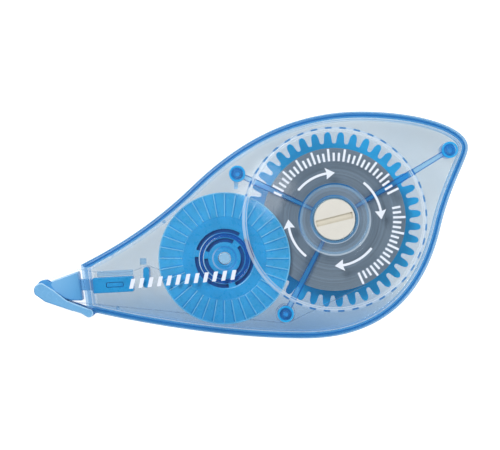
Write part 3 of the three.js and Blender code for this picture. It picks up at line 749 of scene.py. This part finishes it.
def post_rib(post):
    """The rib from the boss to a post, in three stretches, and the dot where it starts."""
    degrees = math.degrees(cmath.phase(post))
    # name, start and end along the rib, width at both, lower edge, underside above, material
    stretches = [
        ("inner", BOSS_RADIUS - 0.3, DISH_RADIUS + 0.4, 0.95, 1.15, REEL_CLEAR, DISH_BOTTOM, RIB_INNER),
        ("middle", DISH_RADIUS, WINDOW_RADIUS - 0.6, 1.15, 1.7, REEL_CLEAR, WINDOW_UNDERSIDE, RIB_MID),
        ("outer", WINDOW_RADIUS - 0.9, abs(post) - 1.2, 1.5, 1.3, 10.2, LID_BOTTOM, RIB),
    ]
    parts = []
    for name, start, end, start_width, end_width, low, underside, material in stretches:
        parts.append(rib(name, start, end, start_width, end_width, degrees, low, underside + SINK, material))
    place = polar(BOSS_RADIUS + 0.2, degrees)
    parts.append(disc("dot", 0.55, REEL_CLEAR, DISH_BOTTOM + SINK, RIB_EDGE, place, sides=SMALL_ROUND))
    return parts


def front_post(post):
    """A hollow post with a raised collar round its mouth."""
    collar_top, collar_floor = LID_TOP + 0.1, LID_TOP - 0.1
    stretches = [
        (POST_BORE, FRONT_BOTTOM + BEVEL, POST_WALL),
        (POST_RADIUS, FRONT_BOTTOM + BEVEL, POST_WALL),
        (POST_RADIUS, collar_top, POST),
        (POST_RADIUS - 0.45, collar_top, POST_CORE),
        (POST_RADIUS - 0.55, collar_floor, POST_CORE),
        # the painted highlight ring round the bore
        (POST_BORE + 0.35, collar_floor, POST_HIGHLIGHT),
        (POST_BORE + 0.05, LID_TOP - 0.25, POST_WALL),
        (POST_BORE, LID_TOP - 0.4, POST_WALL),
    ]
    return banded_ring("post", stretches, 0.08, post, SMALL_ROUND)


def nose_mouth():
    return prism("mouth", rounded(rectangle(*MOUTH_SIDES), 0.5), MOUTH_BOTTOM, MOUTH_TOP, CLEAR)


def knuckle_room():
    return disc("room", LUG_ROOM, *THROUGH, CLEAR, CAP_HINGE, sides=SMALL_ROUND)


def cap_lug(bottom, top):
    """The knuckle that the cap hinges on, with a neck that reaches into the case."""
    neck_length, neck_half_width, neck_degrees = 2.6, 0.55, 15
    neck = bar(0, neck_length, neck_half_width, neck_degrees, CAP_HINGE)
    neck = prism("neck", neck, bottom, top, RIM)
    knuckle = disc("lug", LUG_RADIUS, bottom, top, RIM, CAP_HINGE, sides=SMALL_ROUND)
    bore = disc("bore", LUG_BORE, *THROUGH, RIM, CAP_HINGE, sides=SMALL_ROUND)
    return cut(combine(knuckle, [neck]), [bore])


def front_cover():
    cover = front_shell()
    opening = disc("opening", WINDOW_RADIUS - 0.5, *THROUGH, CLEAR, sides=FINE_ROUND)
    cut(cover, [opening, nose_mouth(), knuckle_room()])
    lid = LID_BOTTOM + SINK
    keeper = rounded(rectangle(*KEEPER), 0.2)
    side_rib = rounded(rectangle(*SIDE_RIB), 0.2)
    added = [window_drum(), cap_lug(FRONT_BOTTOM, CAP_LEAVES[1][0] - LEAF_GAP)]
    for post in POSTS:
        added += post_rib(post)
        added.append(front_post(post))
    added.append(prism("keeper", keeper, TAPE_TOP + 0.4, lid, RIM_INNER))
    added.append(prism("side_rib", side_rib, 9.6, lid, RIB))
    for pip in PIPS:
        added.append(disc("pip", 0.45, LID_BOTTOM - 0.9, lid, RIM_INNER, pip, SMALL_EDGE, SMALL_ROUND))
    combine(cover, added)
    bores = [disc("bore", POST_BORE, *THROUGH, POST_CORE, post, sides=SMALL_ROUND) for post in POSTS]
    cut(cover, bores)
    install(cover, "case", "clear_case", "front_cover")


def guide_socket():
    """The walls that hold the guide post's foot."""
    left, right, low, high = GUIDE_SOCKET
    inside = rectangle(left + SOCKET_WALL, right - SOCKET_WALL, low + SOCKET_WALL, high - SOCKET_WALL)
    socket = prism("socket", rounded(rectangle(*GUIDE_SOCKET), 0.6), BASE, SOCKET_TOP, CLEAR_REAR)
    pocket = prism("pocket", rounded(inside, 0.5), FLOOR_TOP, SOCKET_TOP + PAST, CLEAR_REAR)
    return cut(socket, [pocket])


def rear_cover():
    cover = rear_shell()
    cut(cover, [nose_mouth(), knuckle_room()])
    key = bar(*KEY_REACH, KEY_HALF_WIDTH, BLOCK_TILT, BLOCK_START)
    ledge = bar(0.3, 9.4, 0.7, BLOCK_TILT, BLOCK_START + 2.75j)
    added = [
        disc("supply_pin", SUPPLY_PIN_RADIUS, BASE, SUPPLY_PIN_TOP, RIB, edge=PIN_EDGE),
        disc("supply_pad", SUPPLY_PAD_RADIUS, BASE, PAD_TOP, CLEAR_REAR, edge=SMALL_EDGE),
        disc("takeup_pin", TAKEUP_PIN_RADIUS, BASE, TAKEUP_PIN_TOP, RIB, TAKEUP_AXIS, PIN_EDGE, SMALL_ROUND),
        disc("takeup_pad", TAKEUP_PAD_RADIUS, BASE, PAD_TOP, CLEAR_REAR, TAKEUP_AXIS, SMALL_EDGE),
        prism("key", key, BASE, KEY_TOP, HEAD, SMALL_EDGE),
        prism("ledge", ledge, BASE, 2.4, RIM_INNER, SMALL_EDGE),
        cap_lug(CAP_LEAVES[0][1] + LEAF_GAP, REAR_TOP),
    ]
    for start in (0.5, 8.2):
        pad = bar(start, start + 1.2, BLOCK_HALF_WIDTH, BLOCK_TILT, BLOCK_START)
        added.append(prism("pad", pad, BASE, HEAD_BOTTOM, CLEAR_REAR))
    for post in POSTS:
        added.append(disc("post", POST_RADIUS - 0.05, BASE, REAR_TOP, POST, post, 0.1, SMALL_ROUND))
        added.append(disc("peg", PEG_RADIUS, REAR_TOP - 0.4, 10.8, POST, post, 0.2, SMALL_ROUND))
    added.append(guide_socket())
    combine(cover, added)
    install(cover, "case", "clear_case", "rear_cover")


# ---- gears and reels

RECESS_SIDES = (5.2, 18.6)     # the hollow under the gear, from its hub to its rim
HUB_BOTTOM, HUB_TOP = 3, 9.2
BOSS_SIDES = (1.6, 3)
SLEEVE_SIDES = (5.7, 6.8)
WINDING_SIDES = (6.95, 7.4)
FLANGE_RIBS = 36


def gear_outline(teeth, phase, flank, centre=0j):
    """A gear's outline with round fingers, one of them centred on the phase. The flank runs from a
    tooth's foot to its tip as (radius, half width in degrees)."""
    loop = []
    for tooth in range(teeth):
        middle_angle = phase + 360 * tooth / teeth
        loop += [polar(radius, middle_angle - half, centre) for radius, half in flank]
        loop += [polar(radius, middle_angle + half, centre) for radius, half in reversed(flank)]
    return rounded(loop, 0.3, 3)


def takeup_phase():
    """The direction of a pinion tooth that lies in a gap of the supply gear."""
    share = (TAKEUP_ANGLE - SUPPLY_PHASE) / (360 / SUPPLY_TEETH)
    return TAKEUP_ANGLE + 180 + (share + 0.5) * 360 / TAKEUP_TEETH


def supply_gear():
    tip = span("supply_gear")[1].y
    flank = [(19.25, 3.6), (19.6, 2.95), (20.4, 2.65), (21.3, 2.3), (tip - 0.35, 1.6), (tip - 0.05, 0.7)]
    loop = gear_outline(SUPPLY_TEETH, SUPPLY_PHASE, flank)
    gear = prism("supply_gear_wheel", loop, GEAR_BOTTOM, GEAR_TOP, GEAR, SMALL_EDGE)
    cut(gear, [tube("recess", *RECESS_SIDES, 0, GEAR_BOTTOM + 0.8, GEAR, 0.3, 5)])
    inner, outer = RECESS_SIDES
    added = []
    for degrees in range(30, 360, 60):
        spoke = bar(inner - 0.2, outer + 0.2, 0.5, degrees)
        added.append(prism("spoke", spoke, GEAR_BOTTOM, GEAR_BOTTOM + 1, GEAR))
    added.append(disc("hub", 3.4, GEAR_BOTTOM, 8.6, GEAR, edge=0.2))
    combine(gear, added)
    cut(gear, [disc("bore", SUPPLY_PIN_RADIUS + 0.15, *THROUGH, GEAR)])
    install(gear, "supply_drive", "gear_plastic", "supply_gear")


def clutch_ring():
    thickness_radius, ring_radius, height = 0.36, 3.9, 6.2
    section = circle(thickness_radius, complex(ring_radius, height), 16)
    ring = turned("clutch_o_ring", section, RUBBER, closed=True)
    install(ring, "supply_drive", "clutch_rubber", "clutch_ring")


def tape_core():
    """The spool's hub: a sleeve inside the roll, closed by a disc with a slot for a coin or a blade."""
    inner, outer = 4.4, 5.3
    shoulder = TAPE_TOP + 0.1
    near_axis = 0.01
    corners = points((inner, TAPE_BOTTOM), (outer, TAPE_BOTTOM), (outer, shoulder), (CORE_RADIUS, shoulder),
                     (CORE_RADIUS, CORE_TOP), (near_axis, CORE_TOP))
    profile = rounded(corners, 0.25, 4, closed=False)
    profile += points((near_axis, TAPE_TOP), (inner, TAPE_TOP))
    core = turned("tape_core_disc", profile, CREAM, closed=True)
    loop = rounded(bar(-4.7, 4.7, 0.8, 14), 0.15)
    # the slot's floor and sides in the darker cream of painted shade
    slot = prism("slot", loop, CORE_TOP - 0.55, CORE_TOP + PAST, CREAM_SLOT_SHADE)
    cut(core, [slot])
    install(core, "tape_spool", "core_plastic", "tape_core")


def tape_roll():
    roll = tube("tape_roll", 5.6, ROLL_RADIUS, TAPE_BOTTOM, TAPE_TOP, WOUND, sides=FINE_ROUND)
    install(roll, "tape_spool", "wound_tape", "supply_tape_roll")


def takeup_reel():
    flank = [(6.55, 7.2), (7.4, 6), (8.2, 4.6), (8.65, 3.4), (8.9, 1.8)]
    loop = gear_outline(TAKEUP_TEETH, takeup_phase(), flank, TAKEUP_AXIS)
    hub = prism("takeup_pinion", loop, GEAR_BOTTOM, GEAR_TOP, GEAR, SMALL_EDGE)
    # sleeve, boss and collar in the navy of painted shade
    combine(hub, [tube("sleeve", *SLEEVE_SIDES, HUB_BOTTOM, HUB_TOP, NAVY_SHADE, SMALL_EDGE, 3, TAKEUP_AXIS)])
    combine(hub, [tube("boss", *BOSS_SIDES, HUB_BOTTOM, HUB_TOP, NAVY_SHADE, SMALL_EDGE, 3, TAKEUP_AXIS)])
    combine(hub, [disc("collar", 7.55, HUB_TOP - 0.07, HUB_TOP + 0.13, NAVY_SHADE, TAKEUP_AXIS, 0.05)])
    cut(hub, [disc("bore", BOSS_SIDES[0], *THROUGH, NAVY_SHADE, TAKEUP_AXIS)])
    install(hub, "takeup_reel", "hub_plastic", "takeup_hub")

    winding = tube("takeup_ribbon", *WINDING_SIDES, TAPE_BOTTOM, TAPE_TOP, RIBBON, centre=TAKEUP_AXIS)
    install(winding, "takeup_reel", "carrier_ribbon", "takeup_winding")


def flange_slots():
    """Cutters for two rings of curved slots, which leave three spokes between them."""
    slots = []
    for inner, outer in ((6.5, 7.4), (4.1, 5.05)):
        for start, end in zip(SPOKE_ANGLES, SPOKE_ANGLES[1:] + [SPOKE_ANGLES[0] + 360]):
            clear = math.degrees(0.8 / inner)
            loop = arc(TAKEUP_AXIS, outer, start + clear, end - clear, 40)
            loop += arc(TAKEUP_AXIS, inner, end - clear, start + clear, 40)
            # the slots' walls take the navy of painted shade
            slots.append(prism("slot", rounded(loop, 0.25, 3), *THROUGH, NAVY_SHADE))
    return slots


def takeup_flange():
    plate = FLANGE_TOP - 0.25
    rim_height = FLANGE_TOP - 0.02
    bore = BOSS_SIDES[0]
    stretches = [
        (bore, FLANGE_BOTTOM, FLANGE),
        (FLANGE_RADIUS, FLANGE_BOTTOM, FLANGE),
        # the flange's rim in the lighter blue of the painted highlight
        (FLANGE_RADIUS, rim_height, FLANGE_RIB_HIGHLIGHT),
        (FLANGE_RADIUS - 0.25, rim_height, FLANGE_RIB_HIGHLIGHT),
        (FLANGE_RADIUS - 0.35, plate, FLANGE_BAND),
        (10.5, plate, FLANGE),
        (10.4, plate - 0.06, FLANGE),
        (7.75, plate - 0.06, FLANGE),
        (7.5, plate - 0.15, FLANGE),
        (6.5, plate - 0.15, FLANGE),
        # the recessed ring between the slots in painted shade, with painted highlight lines at its edges
        (6.4, plate, HUB_HIGHLIGHT_LINE),
        (6.2, plate, HUB_RING_SHADE),
        (6.1, plate - 0.35, HUB_RING_SHADE),
        (5.5, plate - 0.35, HUB_RING_SHADE),
        (5.4, plate, HUB_HIGHLIGHT_LINE),
        (5.2, plate, FLANGE),
        (5.1, plate - 0.2, FLANGE),
        (4.1, plate - 0.2, FLANGE),
        (4, plate, FLANGE),
        # a soft painted highlight on the boss's rounded edge
        (3.1, plate, HUB_SOFT_HIGHLIGHT),
        (2.7, plate - 0.3, FLANGE),
        (2.2, plate - 0.3, FLANGE),
        (1.95, plate, FLANGE),
        (bore, plate - 0.1, FLANGE),
    ]
    flange = banded_ring("takeup_flange_disc", stretches, 0.08, TAKEUP_AXIS, FINE_ROUND)
    cut(flange, flange_slots())
    ribs = []
    shade_strips = []
    # each rib is in the painted highlight blue, and a thin, barely raised strip of painted shade lies beside
    # it
    for number in range(FLANGE_RIBS):
        degrees = 360 / FLANGE_RIBS * number
        beside = TAKEUP_AXIS - 0.3j * polar(1, degrees)
        loop = bar(10.5, FLANGE_RADIUS - 0.2, 0.16, degrees, TAKEUP_AXIS)
        ribs.append(prism("rib", loop, plate - SINK, FLANGE_TOP, FLANGE_RIB_HIGHLIGHT, 0.1, 0.0, 3))
        loop = bar(10.6, FLANGE_RADIUS - 0.5, 0.13, degrees, beside)
        shade_strips.append(prism("shade_strip", loop, plate - SINK, plate + 0.03, FLANGE_GROOVE_SHADE))
    combine(flange, [join("shade_strips", shade_strips)])
    combine(flange, [join("ribs", ribs)])
    install(flange, "takeup_reel", "hub_plastic", "takeup_flange")


# ---- head, cap and tape

ARM_THICKNESS = 0.5
LEAF_TIP = complex(-73.2, -17.75)
LEAF_TIP_RADIUS = 1.85
STEM = (-65, -59, -17.8, -15)
STEM_BOTTOM, STEM_TOP = 4.4, 8.8
BLOCK_BOTTOM = 3.6


def applicator_head():
    wedge = points((-70.8, -15.35), (-71.3, -16.4), (-70.3, -17.8), (-67.4, -19.85), (-65.8, -20.3),
                   (-62.9, -20.3), (-64, -12.9))
    loop = rounded(wedge, 0.5)
    # the wedge and its rounded upper edge carry painted light from the upper left
    head = prism("head", loop, HEAD_BOTTOM, HEAD_TOP, WEDGE_PAINTED_LIGHT, 0.35, edge_material=WEDGE_RIM_HIGHLIGHT)
    arm = rounded([ROLLER_AXIS - 1.1j, ROLLER_AXIS + 1.1j] + points((-68, -15.4), (-68, -17.6)), 0.1)
    parts = []
    for bottom in (HEAD_BOTTOM, HEAD_TOP - ARM_THICKNESS):
        top = bottom + ARM_THICKNESS
        parts.append(prism("arm", arm, bottom, top, ARM))
        parts.append(disc("eye", 1.75, bottom, top, ARM, ROLLER_AXIS, SMALL_EDGE, SMALL_ROUND))
    parts.append(prism("stem", rectangle(*STEM), STEM_BOTTOM, STEM_TOP, CAP, 0.2))
    block = rounded(bar(-0.3, 9.8, BLOCK_HALF_WIDTH, BLOCK_TILT, BLOCK_START), 0.4)
    parts.append(prism("block", block, BLOCK_BOTTOM, HEAD_TOP, HEAD, 0.25))
    combine(head, parts)
    slot = rounded(bar(KEY_REACH[0] - 0.1, KEY_REACH[1] + 0.1, 0.65, BLOCK_TILT, BLOCK_START), 0.3)
    holes = [
        prism("slot", slot, *THROUGH, HEAD),
        disc("hole", 0.65, *THROUGH, HEAD, ROLLER_AXIS, sides=SMALL_ROUND),
    ]
    cut(head, holes)
    install(head, "case", "head_plastic", "applicator_head")


def tip_roller():
    """The roller's barrel between the arms, with a pin at both ends."""
    pin, low, high = 0.5, HEAD_BOTTOM + 0.8, HEAD_TOP - 0.8
    corners = points((pin, HEAD_BOTTOM), (pin, low), (ROLLER_RADIUS, low), (ROLLER_RADIUS, high),
                     (pin, high), (pin, HEAD_TOP))
    piece = turned("tip_roller_barrel", rounded(corners, 0.18, 4, closed=False), ROLLER, ROLLER_AXIS, 64)
    install(piece, "roller", "roller_plastic", "tip_roller")


def swing_cap():
    """Two leaves on either side of the head, joined by a web along their outer edge."""
    inner_edge = points((-66.75, -20.3), (-70.2, -17.6))
    outer_edge = points((-72.3, -20.55), (-67.1, -22.3), (-63.2, -23.5))
    leaf = arc(CAP_HINGE, LUG_RADIUS, -120, 90, 16) + inner_edge
    leaf += arc(LEAF_TIP, LEAF_TIP_RADIUS, 80, 215, 16) + outer_edge
    loop = rounded(leaf, 0.5, 4)
    web_outer = arc(LEAF_TIP, LEAF_TIP_RADIUS, 150, 215, 12) + outer_edge[:2] + [complex(-65.3, -22.9)]
    web = web_outer + beside(web_outer, 0.6)[::-1]
    (rear_low, rear_high), (front_low, front_high) = CAP_LEAVES
    cap = prism("swing_cap_shell", loop, rear_low, rear_high, CAP, 0.25)
    parts = [
        # the upper leaf's rounded edge carries painted highlight and painted shade
        prism("front_leaf", loop, front_low, front_high, CAP, 0.3, edge_material=CAP_RIM_HIGHLIGHT),
        prism("web", web, rear_low + 0.2, front_high - 0.2, CAP),
    ]
    pin_length = 2
    for bottom in (rear_high - 0.4, front_low + 0.4 - pin_length):
        parts.append(disc("pin", 0.5, bottom, bottom + pin_length, CAP, CAP_HINGE, sides=SMALL_ROUND))
    combine(cap, parts)
    install(cap, "cap", "cap_plastic", "swing_cap")


def guide_shape():
    """The guide post's radius and the centres of its upper and lower end, seen from above."""
    low, high = span("guide_post")
    radius = (high.x - low.x) / 2
    x = (high.x + low.x) / 2
    return radius, complex(x, high.y - radius), complex(x, low.y + radius)


def guide_post():
    low, high = span("guide_post")
    radius, upper, lower = guide_shape()
    loop = arc(upper, radius, 0, 180, 20) + arc(lower, radius, 180, 360, 20)
    post = prism("guide_post_pin", loop, low.z, high.z, HEAD, 0.2)
    install(post, "case", "head_plastic", "guide_post")


def strip(name, path, material):
    """Tape on edge along a path, between the tape's two heights."""
    loop = beside(path, -TAPE_THICKNESS / 2) + beside(path, TAPE_THICKNESS / 2)[::-1]
    return prism(name, loop, TAPE_BOTTOM, TAPE_TOP, material)


def belt_heading(start, start_radius, end, end_radius, side):
    """The heading in degrees of a straight run of tape between two round bends. Side is 1 when both bends
    lie on the same side of the run, and -1 when it crosses over."""
    gap = end - start
    turn = math.asin((start_radius - side * end_radius) / abs(gap))
    return math.degrees(cmath.phase(gap) - turn)


def tapes():
    bend_gap = 0.3 + TAPE_THICKNESS / 2
    close_gap = 0.2 + TAPE_THICKNESS / 2
    roller_bend = ROLLER_RADIUS + close_gap
    roll_bend = ROLL_RADIUS + bend_gap
    post_bend = POST_RADIUS + bend_gap
    reel_bend = WINDING_SIDES[1] + bend_gap
    post = POSTS[2]
    heel = complex(-65.8, -20.75)
    leave_roll = belt_heading(SUPPLY_AXIS, roll_bend, post, post_bend, 1)
    to_heel = belt_heading(post, post_bend, heel, 0, 1)
    to_roller = belt_heading(heel, 0, ROLLER_AXIS, roller_bend, 1)
    feed = [polar(roll_bend, leave_roll + 90)]
    feed += arc(post, post_bend, leave_roll - 270, to_heel - 270, 16)
    feed.append(heel)
    feed += arc(ROLLER_AXIS, roller_bend, to_roller - 270, -176, 16)
    install(strip("tape_feed_strip", feed, COATED), "case", "coated_tape", "tape_feed_run")

    guide_radius, guide, _ = guide_shape()
    guide_bend = guide_radius + close_gap
    above_head = points((-64.1, -12.5), (-60, -13.2), (-55, -13.5), (-50.5, -13))
    to_guide = belt_heading(above_head[-1], 0, guide, guide_bend, 1)
    from_guide = belt_heading(guide, guide_bend, TAKEUP_AXIS, reel_bend, -1)
    back = arc(ROLLER_AXIS, roller_bend, 176, 100, 10) + above_head
    back += arc(guide, guide_bend, to_guide + 90, from_guide + 90, 8)
    back.append(polar(reel_bend, from_guide - 90, TAKEUP_AXIS))
    install(strip("tape_return_strip", back, RIBBON), "case", "carrier_ribbon", "tape_return_run")


# ---- printed marks

PRINT_HEIGHT = 0.04
ARROW_RADIUS = 11.6
ARROWS = [(0, 52), (90, 141.5), (180, 232), (270, 322)]    # angles of each tip and tail
ARROW_HEAD = 2.3
ARROW_HALF_WIDTH = 1.45
SHAFT_HALF_WIDTH = 0.3
SCALES = [(26, 156), (-66, 11)]        # the angles between which each scale of ticks runs
TICK_SPACING = 4.6
TICK_START, TICK_END, LONG_TICK_END = 14.5, 16.6, 17.6
DASHES = 12
DASH_START = complex(-51.2, -17.3)
DASH_TILT = 5
DASH_SPACING = 2.3
DASH_WIDTH, DASH_HEIGHT, DASH_LEAN = 1, 2.4, 0.75


def mark(loop, bottom):
    return prism("mark", loop, bottom, bottom + PRINT_HEIGHT, PRINT)


def arrow(tip, tail):
    head = math.degrees(ARROW_HEAD / ARROW_RADIUS)
    outer = arc(0j, ARROW_RADIUS + SHAFT_HALF_WIDTH, tip + head * 0.9, tail, 24)
    inner = arc(0j, ARROW_RADIUS - SHAFT_HALF_WIDTH, tail, tip + head * 0.9, 24)
    barb = [
        polar(ARROW_RADIUS - ARROW_HALF_WIDTH, tip + head),
        polar(ARROW_RADIUS, tip),
        polar(ARROW_RADIUS + ARROW_HALF_WIDTH, tip + head),
    ]
    return mark(outer + inner + barb, WINDOW_TOP)


def scale(start, end):
    """Ticks between two angles, every third of them long."""
    count = round((end - start) / TICK_SPACING)
    ticks = []
    for i in range(count + 1):
        reach = TICK_END if i % 3 else LONG_TICK_END
        tick = bar(TICK_START, reach, 0.28, start + (end - start) * i / count)
        ticks.append(mark(rounded(tick, 0.12, 3), WINDOW_TOP))
    return ticks


def printed_marks():
    marks = [arrow(*angles) for angles in ARROWS]
    for angles in SCALES:
        marks += scale(*angles)
    install(join("window_print", marks), "case", None)

    tilt = polar(1, DASH_TILT)
    lean = complex(DASH_LEAN, DASH_HEIGHT)
    dashes = []
    for i in range(DASHES):
        corner = DASH_START + tilt * (DASH_SPACING * i)
        loop = [corner + side * tilt for side in (0, DASH_WIDTH, DASH_WIDTH + lean, lean)]
        dashes.append(mark(rounded(loop, 0.15, 3), LID_TOP))
    install(join("lid_print", dashes), "case", None)


# ---- floor, light and camera

FLOOR_REACH = 6.0              # metres
FLOOR_DROP = 0.2
# name, place, side of the square lamp (all in metres) and power in watts
LAMPS = [
    ("key", (-0.22, 0.25, 0.5), 0.22, 2.1),
    ("fill", (0.35, -0.2, 0.4), 0.3, 1.3),
    ("glint", (-0.0148, 0.0124, 0.313), 0.017, 0.0036),
]
CAMERA_DISTANCE = 600
CAMERA_AIM_HEIGHT = 10
FRAME_WIDTH = 125
SENSOR_WIDTH = 36
VIEW_CENTRE = complex(-21.1, -1.4)


def stage_floor():
    """A white floor that glows a little, so that it stays white around the object."""
    n = Nodes("white_floor")
    diffuse = n.add("BsdfDiffuse", Color=(0.45, 0.45, 0.45, 1)).outputs[0]
    glow = n.add("Emission", Color=(1, 1, 1, 1), Strength=0.84).outputs[0]
    material = n.done(n.add("AddShader", _0=diffuse, _1=glow).outputs[0])
    bm = bmesh.new()
    bmesh.ops.create_grid(bm, x_segments=1, y_segments=1, size=FLOOR_REACH)
    floor = mesh_object("floor", bm, [material])
    floor.location.z = -FLOOR_DROP * MM


def world():
    """A white surrounding that fades towards straight above, where the flat faces would mirror it."""
    studio = bpy.data.worlds.new("studio")
    studio.use_nodes = True
    tree = studio.node_tree
    place = tree.nodes.new("ShaderNodeTexCoord").outputs["Generated"]
    axes = tree.nodes.new("ShaderNodeSeparateXYZ")
    tree.links.new(place, axes.inputs[0])
    fade = tree.nodes.new("ShaderNodeMapRange")
    for key, value in (("From Min", 0.6), ("From Max", 0.93), ("To Min", 0.6), ("To Max", 0.06)):
        fade.inputs[key].default_value = value
    tree.links.new(axes.outputs["Z"], fade.inputs["Value"])
    background = tree.nodes["Background"]
    background.inputs["Color"].default_value = (1, 1, 1, 1)
    tree.links.new(fade.outputs["Result"], background.inputs["Strength"])
    bpy.context.scene.world = studio


def lamps():
    for name, place, size, power in LAMPS:
        data = bpy.data.lights.new(name, "AREA")
        data.size = size
        data.energy = power
        lamp = new_object(name, data)
        lamp.location = place
        lamp.rotation_euler = (-Vector(place)).to_track_quat("-Z", "Y").to_euler()


def camera():
    data = bpy.data.cameras.new("camera")
    data.sensor_width = SENSOR_WIDTH
    data.lens = SENSOR_WIDTH * CAMERA_DISTANCE / FRAME_WIDTH
    eye = new_object("camera", data)
    eye.location = Vector((VIEW_CENTRE.real, VIEW_CENTRE.imag, CAMERA_DISTANCE + CAMERA_AIM_HEIGHT)) * MM
    bpy.context.scene.camera = eye


camera()
stage_floor()
world()
lamps()
rear_cover()
front_cover()
supply_gear()
clutch_ring()
tape_core()
tape_roll()
takeup_reel()
takeup_flange()
applicator_head()
tip_roller()
swing_cap()
guide_post()
tapes()
printed_marks()

scene = bpy.context.scene
scene.view_settings.view_transform = "Standard"
scene.cycles.transparent_max_bounces = 32
scene.cycles.max_bounces = 12
